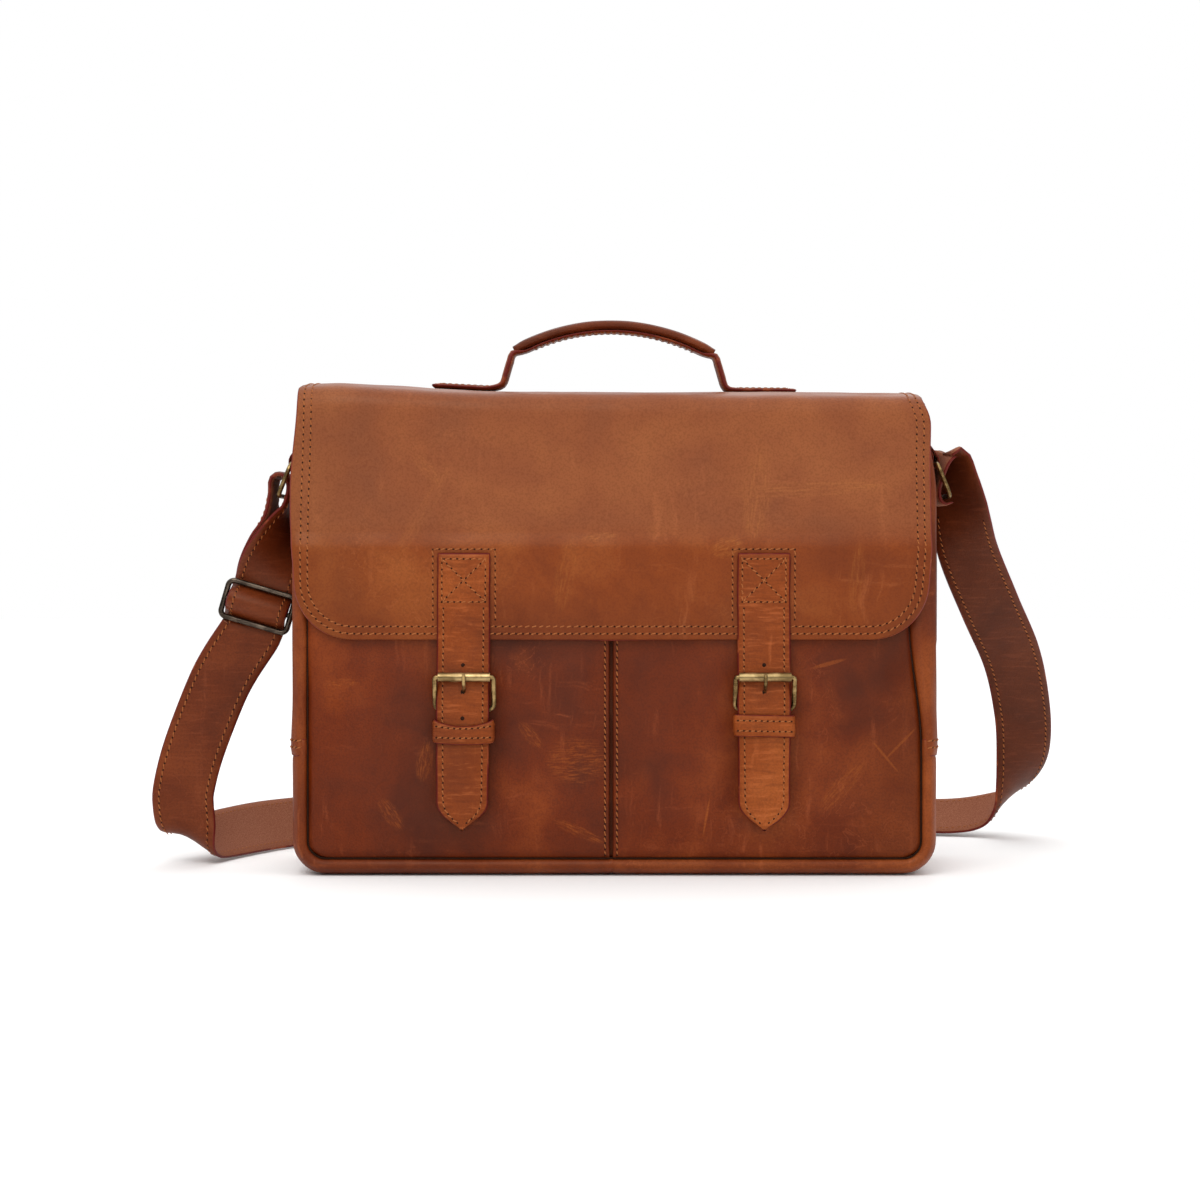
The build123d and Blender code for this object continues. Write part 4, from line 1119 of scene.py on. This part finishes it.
# ---- seams of the body ----
body_seams = Stitching()
for off in (-3.9, 3.6):
    line = [Vector((GAP_X + off, pocket_y(GAP_X + off, z) - 0.02, z)) for z in steps(13, 200, 4)]
    body_seams.row(line, FORWARD, 4.0)
for sign in (-1, 1):
    for z in (80.3, 84.6):
        s = BODY_TOP - z if sign < 0 else TOTAL_L - (BODY_TOP - z)
        line = [band_point(s, d, y, 0.9) for d, y in band_section()[1:-1]]
        ups = band_point(s + 1, 0, 0, 0.9) - band_point(s - 1, 0, 0, 0.9)
        normals = []
        for k, p in enumerate(line):
            run = line[min(k + 1, len(line) - 1)] - line[max(k - 1, 0)]
            n = run.cross(ups).normalized()
            normals.append(n if n.dot(Vector((sign, 0, 0)) + Vector((0, p.y * 0.02, 0))) > 0 else -n)
        body_seams.row(line, normals, 4.2)

# ---- handle ----
TAB_TOP = 304.7
grip_half, grip_end_z, grip_peak = 62.0, 330.0, 346.0
grip_r = (grip_half ** 2 + (grip_peak - grip_end_z) ** 2) / (2 * (grip_peak - grip_end_z))
grip_c = grip_peak - grip_r


def arch(x, rise):
    """Point on the grip's arch, rise above its middle line."""
    scale = (grip_r + rise) / grip_r
    return x * scale, grip_c + sqrt(grip_r ** 2 - x ** 2) * scale


def handle_shift(x):
    """The handle stands a little higher on the left, like the flap under it."""
    return 1.6 * (1 - ease(x, -110, 60)) - 0.9 * ease(x, -20, 110)


# stations of the handle strap: x, z, width, thickness
path = [(x, TAB_TOP + 1.4 + crown_lift(x) - handle_shift(x), width, 2.6)
        for x, width in ((-116, 19.0), (-112, 23.4), (-104, 24), (-92, 24), (-82, 24))]
path += [(-73.6, 306.8, 23, 3.4), (-70.7, 309.6, 22, 4.0), (-69.3, 314, 22, 4.2), (-66.6, 323, 21, 4.2),
         (-64.4, 328.2, 18, 4.0)]
mirrored = [(-x, *rest) for x, *rest in reversed(path)]
path += [(*arch(x, -3.1), 15.0, 1.7) for x in steps(-58, 58, 9.6)] + mirrored
stations = []
for x, z, width, thick in path:
    z = TAB_TOP + 1.4 + crown_lift(x) if x > 80 else z + handle_shift(x)
    stations.append((Vector((x, 0, z)), FORWARD, width, thick))
frames = ribbon_frames(smooth_path(stations, 2.4))
handle = ribbon("handle_strap_hide", frames, (STRAP_HIDE, FLESH, PAINT), 1, 9, 0.2)
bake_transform(handle)
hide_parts("handle_strap", "handle_tab_left", "handle_tab_right")

rings = []
for x in steps(-63.5, 63.5, 2.4):
    end = ease(63.5 - abs(x), 0, 7)
    ring = []
    for k in range(28):
        a = 2 * pi * k / 28
        wide = 9.2 * (0.86 + 0.14 * end) * (abs(cos(a)) ** 0.8) * (1 if cos(a) > 0 else -1)
        tall = 3.3 * (0.80 + 0.20 * end) * (abs(sin(a)) ** 0.8) * (1 if sin(a) > 0 else -1)
        px, pz = arch(x, 0.9 + tall)
        lump = 0.22 * wobble(px * 0.05, wide * 0.1, tall)
        ring.append(Vector((px, wide, pz + handle_shift(px) + lump)))
    rings.append(ring)
grip = tube("handle_grip_hide", rings, [SHADED_STRAP_HIDE, PAINT])
settle(grip, "handle", "strap_leather", "handle_grip", "handle_core")
handle_seams, tab_seams = Stitching(), Stitching()
for y in (-5.2, 5.2):
    line = []
    for x in steps(-54, 54, 3.0):
        px, pz = arch(x, -4.0)
        line.append(Vector((px, y, pz + handle_shift(px))))
    handle_seams.row(line, Vector((0, 0, -1)), 4.0, slant=0.1)
for sign in (-1, 1):
    base = [(sign * px, y) for px, y in ((79, -9), (110, -9), (113.5, 0), (110, 9), (79, 9), (79, -9))]
    line = []
    for (ax, ay), (bx, by) in zip(base, base[1:]):
        for t in steps(0, 1, 0.2)[:-1]:
            x, y = ax + (bx - ax) * t, ay + (by - ay) * t
            line.append(Vector((x, y, TAB_TOP + crown_lift(x) + 2.85)))
    line.append(line[0].copy())
    tab_seams.row(line, Vector((0, 0, 1)), 4.0)
settle(handle_seams.made("handle_seams"), "handle", "strap_leather")
settle(tab_seams.made("handle_tab_seams"), "flap", "strap_leather")

# ---- side ring tabs ----
BAR_X, BAR_Z, TAB_BEND, TAB_W, TAB_T = 204.9, 258.0, 2.25, 30, 1.3
for side, sign in SIDES:
    spots = [(203.0 - taper(sign, z), z) for z in (289, 281, 273)] + [(202.9, 264)]
    spots += around((BAR_X, BAR_Z), TAB_BEND, steps(180, 360, 22.5))
    spots += [(206.2, 263)] + [(204.6 - taper(sign, z), z) for z in (273, 281, 289)]
    path = [(Vector((sign * x, 0, z)), FORWARD, TAB_W, TAB_T) for x, z in spots]
    frames = ribbon_frames(smooth_path(path, 2.0))
    tab = ribbon(f"ring_tab_{side}_hide", frames, HIDE_SET["shoulder"], sign, 7, 0.1)
    settle(tab, "body", "strap_leather", f"ring_tab_{side}")
    for line in ([[(y, z) for y in steps(-12, 12, 4)] for z in (272.0, 286.0)]
                 + [[(y, z) for z in steps(272, 286, 4)] for y in (-12, 12)]):
        line = [Vector((sign * (205.35 - taper(sign, z)), y, z)) for y, z in line]
        body_seams.row(line, Vector((sign, 0, 0)), 4.0)
settle(body_seams.made("body_seams"), "body", "body_leather")

# ---- shoulder strap ----
TURN = radians(16.4)
ALONG = Vector((sin(TURN), 0, cos(TURN)))
OUTWARD = -Vector((cos(TURN), 0, -sin(TURN)))
SLIDER_AT = Vector((-228.6, -6.0, 167.0))
STRAP_W, STRAP_T, SKIVED = 38.0, 3.3, 1.6
LOOP_X, LOOP_Z, LOOP_R = 213.2, 246.0, 5.8


def at_slider(along, behind):
    """Point beside the slider, by its distance up the strap and behind the slider's plane."""
    return SLIDER_AT + ALONG * along + Vector((0, behind, 0))


def twisting(share, spread):
    """Station between slider and left ring, a quarter turn as it climbs."""
    angle = radians(90 * min(1.2 * share, 1))
    low, high = at_slider(16, 6.3), Vector((-LOOP_X, 0, 240))
    apart = (Vector((0, 1, 0)) * cos(angle) + Vector((-1, 0, 0)) * sin(angle)) * spread
    return low + (high - low) * share + apart, OUTWARD * cos(angle) + FORWARD * sin(angle), STRAP_W, STRAP_T


def spread_at(share):
    """Half the distance between the two plies of the left loop."""
    return 1.9 + (LOOP_R - 1.9) * share


left_run = [(at_slider(a, b), OUTWARD, STRAP_W, SKIVED) for a, b in
            ((0, -3.1), (-2.2, -2.2), (-3.1, 0), (-2.2, 2.2), (0, 3.1), (3.0, 4.1), (8.5, 6.2))]
left_run += [(at_slider(12, 8.2), OUTWARD, STRAP_W, 2.4)]
left_run += [twisting(t, spread_at(t)) for t in (0, 0.2, 0.4, 0.6, 0.8, 1)]
for angle in (180, 145, 110, 70, 35, 0):
    turn_x, turn_z = cos(radians(angle)), sin(radians(angle))
    loop_at = Vector((-LOOP_X + LOOP_R * turn_x, 0, LOOP_Z + LOOP_R * turn_z))
    left_run += [(loop_at, FORWARD, STRAP_W, STRAP_T)]
left_run += [twisting(t, -spread_at(t)) for t in (1, 0.8, 0.6, 0.4, 0.2, 0)]
left_run += [(at_slider(a, b), OUTWARD, STRAP_W, STRAP_T) for a, b in
             ((12, 4.75), (8.5, 2.6), (4.2, -3.8), (0, -5.7), (-4.2, -3.8), (-8.5, 2.6), (-12, 4.75),
              (-17, 4.0))]
# strap from below the slider over the floor behind the bag to the right ring: centre, edge direction
LOWER_RUN = (
    ((-247, -2, 130), (-0.92, 0, 0.38)), ((-257, 0, 111), (-0.92, 0, 0.40)),
    ((-271, 1, 75), (-0.97, 0, 0.24)), ((-277.5, 1, 50), (-1, 0, 0.03)),
    ((-278, 1, 38), (-0.98, 0, 0.18)), ((-276.5, 3, 26), (-0.93, 0, 0.36)),
    ((-274, 8, 18), (-0.87, 0.05, 0.49)), ((-270, 18, 14.5), (-0.82, 0.1, 0.56)),
    ((-263, 34, 14.5), (-0.76, 0.15, 0.63)), ((-251, 58, 15.5), (-0.68, 0.2, 0.70)),
    ((-232, 92, 16), (-0.6, 0.28, 0.75)), ((-205, 124, 16), (-0.5, 0.42, 0.75)),
    ((-165, 152, 16), (-0.36, 0.56, 0.75)), ((-100, 176, 15.5), (-0.18, 0.67, 0.72)),
    ((-20, 188, 15), (-0.05, 0.73, 0.68)), ((70, 190, 14), (0.02, 0.78, 0.62)),
    ((150, 186, 13), (0.06, 0.83, 0.56)), ((215, 179, 12.5), (0.1, 0.85, 0.52)),
    ((248, 172, 13.5), (0.25, 0.8, 0.55)), ((268, 163, 19), (0.5, 0.62, 0.6)),
    ((280, 152, 30), (0.72, 0.42, 0.55)), ((286, 141, 47), (0.87, 0.2, 0.45)),
    ((287, 130, 68), (0.95, 0.05, 0.3)), ((283, 115, 95), (0.95, 0, 0.3)),
    ((272, 92, 130), (0.94, -0.05, 0.34)), ((252, 62, 166), (0.93, -0.1, 0.36)),
    ((232, 33, 205), (0.86, -0.36, 0.34)), ((224.5, 14, 236), (0.66, -0.72, 0.22)),
    ((220, 5, 253), (0.56, -0.82, 0.1)), ((217.2, 1, 263), (0.48, -0.88, 0.02)),
    ((213.6, 0, 267), (0.36, -0.93, -0.1)), ((210.8, 0, 260), (0.16, -0.98, 0)),
    ((208.4, 0, 250), (0.05, -1, 0)),
    ((206.9, 0, 241), (0, -1, 0)), ((208, 0, 234.6), (0, -1, 0)),
)
MEETING = 14             # station behind the bag where the strap's two halves meet
lower = [(Vector(c), Vector(e), STRAP_W, STRAP_T) for c, e in LOWER_RUN]
tail = [(Vector((211.5, 0, 232.6)), FORWARD, STRAP_W, 2.4),
        (Vector((215.2, 0, 233.6)), FORWARD, STRAP_W, SKIVED)]
whole = smooth_path(left_run + lower + tail, 2.6)
split = min(range(len(whole)), key=lambda k: (whole[k][0] - Vector(LOWER_RUN[MEETING][0])).length)
strap_frames = ribbon_frames(whole)
STRAP_CROWN = 0.35
for side, part, bodies in (("left", strap_frames[:split + 1], ("body", "ring_left")),
                           ("right", strap_frames[split:], ("body", "ring_right"))):
    piece = ribbon(f"shoulder_strap_{side}_hide", part, HIDE_SET["shoulder"], -1, 13, STRAP_CROWN)
    seams = Stitching()
    for u in (-0.80, 0.80):
        for way in (1, -1):
            runs = [([], [])]
            for centre, across, normal, width, thick in part:
                # no stitches where the strap bends round a ring
                if hypot(abs(centre.x) - LOOP_X, centre.z - LOOP_Z) < (24 if side == "right" else 9):
                    runs.append(([], []))
                    continue
                top = thick / 2 - 0.1
                if way < 0:
                    top = thick / 2 - STRAP_CROWN / 2 + STRAP_CROWN * (1 - u * u)
                runs[-1][0].append(centre + across * (u * width / 2) + normal * way * top)
                runs[-1][1].append(normal * way)
            for line, normals in runs:
                if len(line) > 3:
                    seams.row(line, normals)
    thread = seams.made(f"shoulder_strap_seams_{side}")
    x = -0.214 if side == "left" else 0.214
    for made in (piece, thread):
        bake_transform(made)
    if side == "left":
        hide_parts("shoulder_strap")

# ---- materials of the metal, and of the boards that stay as they are ----
for node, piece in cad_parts.items():
    if node.startswith("buckle_roller"):
        mat = ROLLER
    elif node == "strap_slider":
        mat = BRONZE
    elif node.startswith(("buckle", "ring", "snap")):
        mat = BRASS
    else:
        mat = BOARD
    piece.data.materials.clear()
    piece.data.materials.append(mat)

# ---- floor ----
floor_mesh = bpy.data.meshes.new("floor")
floor_mesh.from_pydata([(-6, -4, 0), (6, -4, 0), (6, 6, 0), (-6, 6, 0)], [], [(0, 1, 2, 3)])
floor = bpy.data.objects.new("floor", floor_mesh)
bpy.context.collection.objects.link(floor)
g = Graph("floor_paint")
speckle = g.noise(60, 2)
paint = g.mix(g.times(speckle, 0.02), (0.95, 0.95, 0.95), (0.92, 0.92, 0.92))
floor_mesh.materials.append(g.done(paint, 0.75, g.bump(speckle, 0.02, 0.0005)))
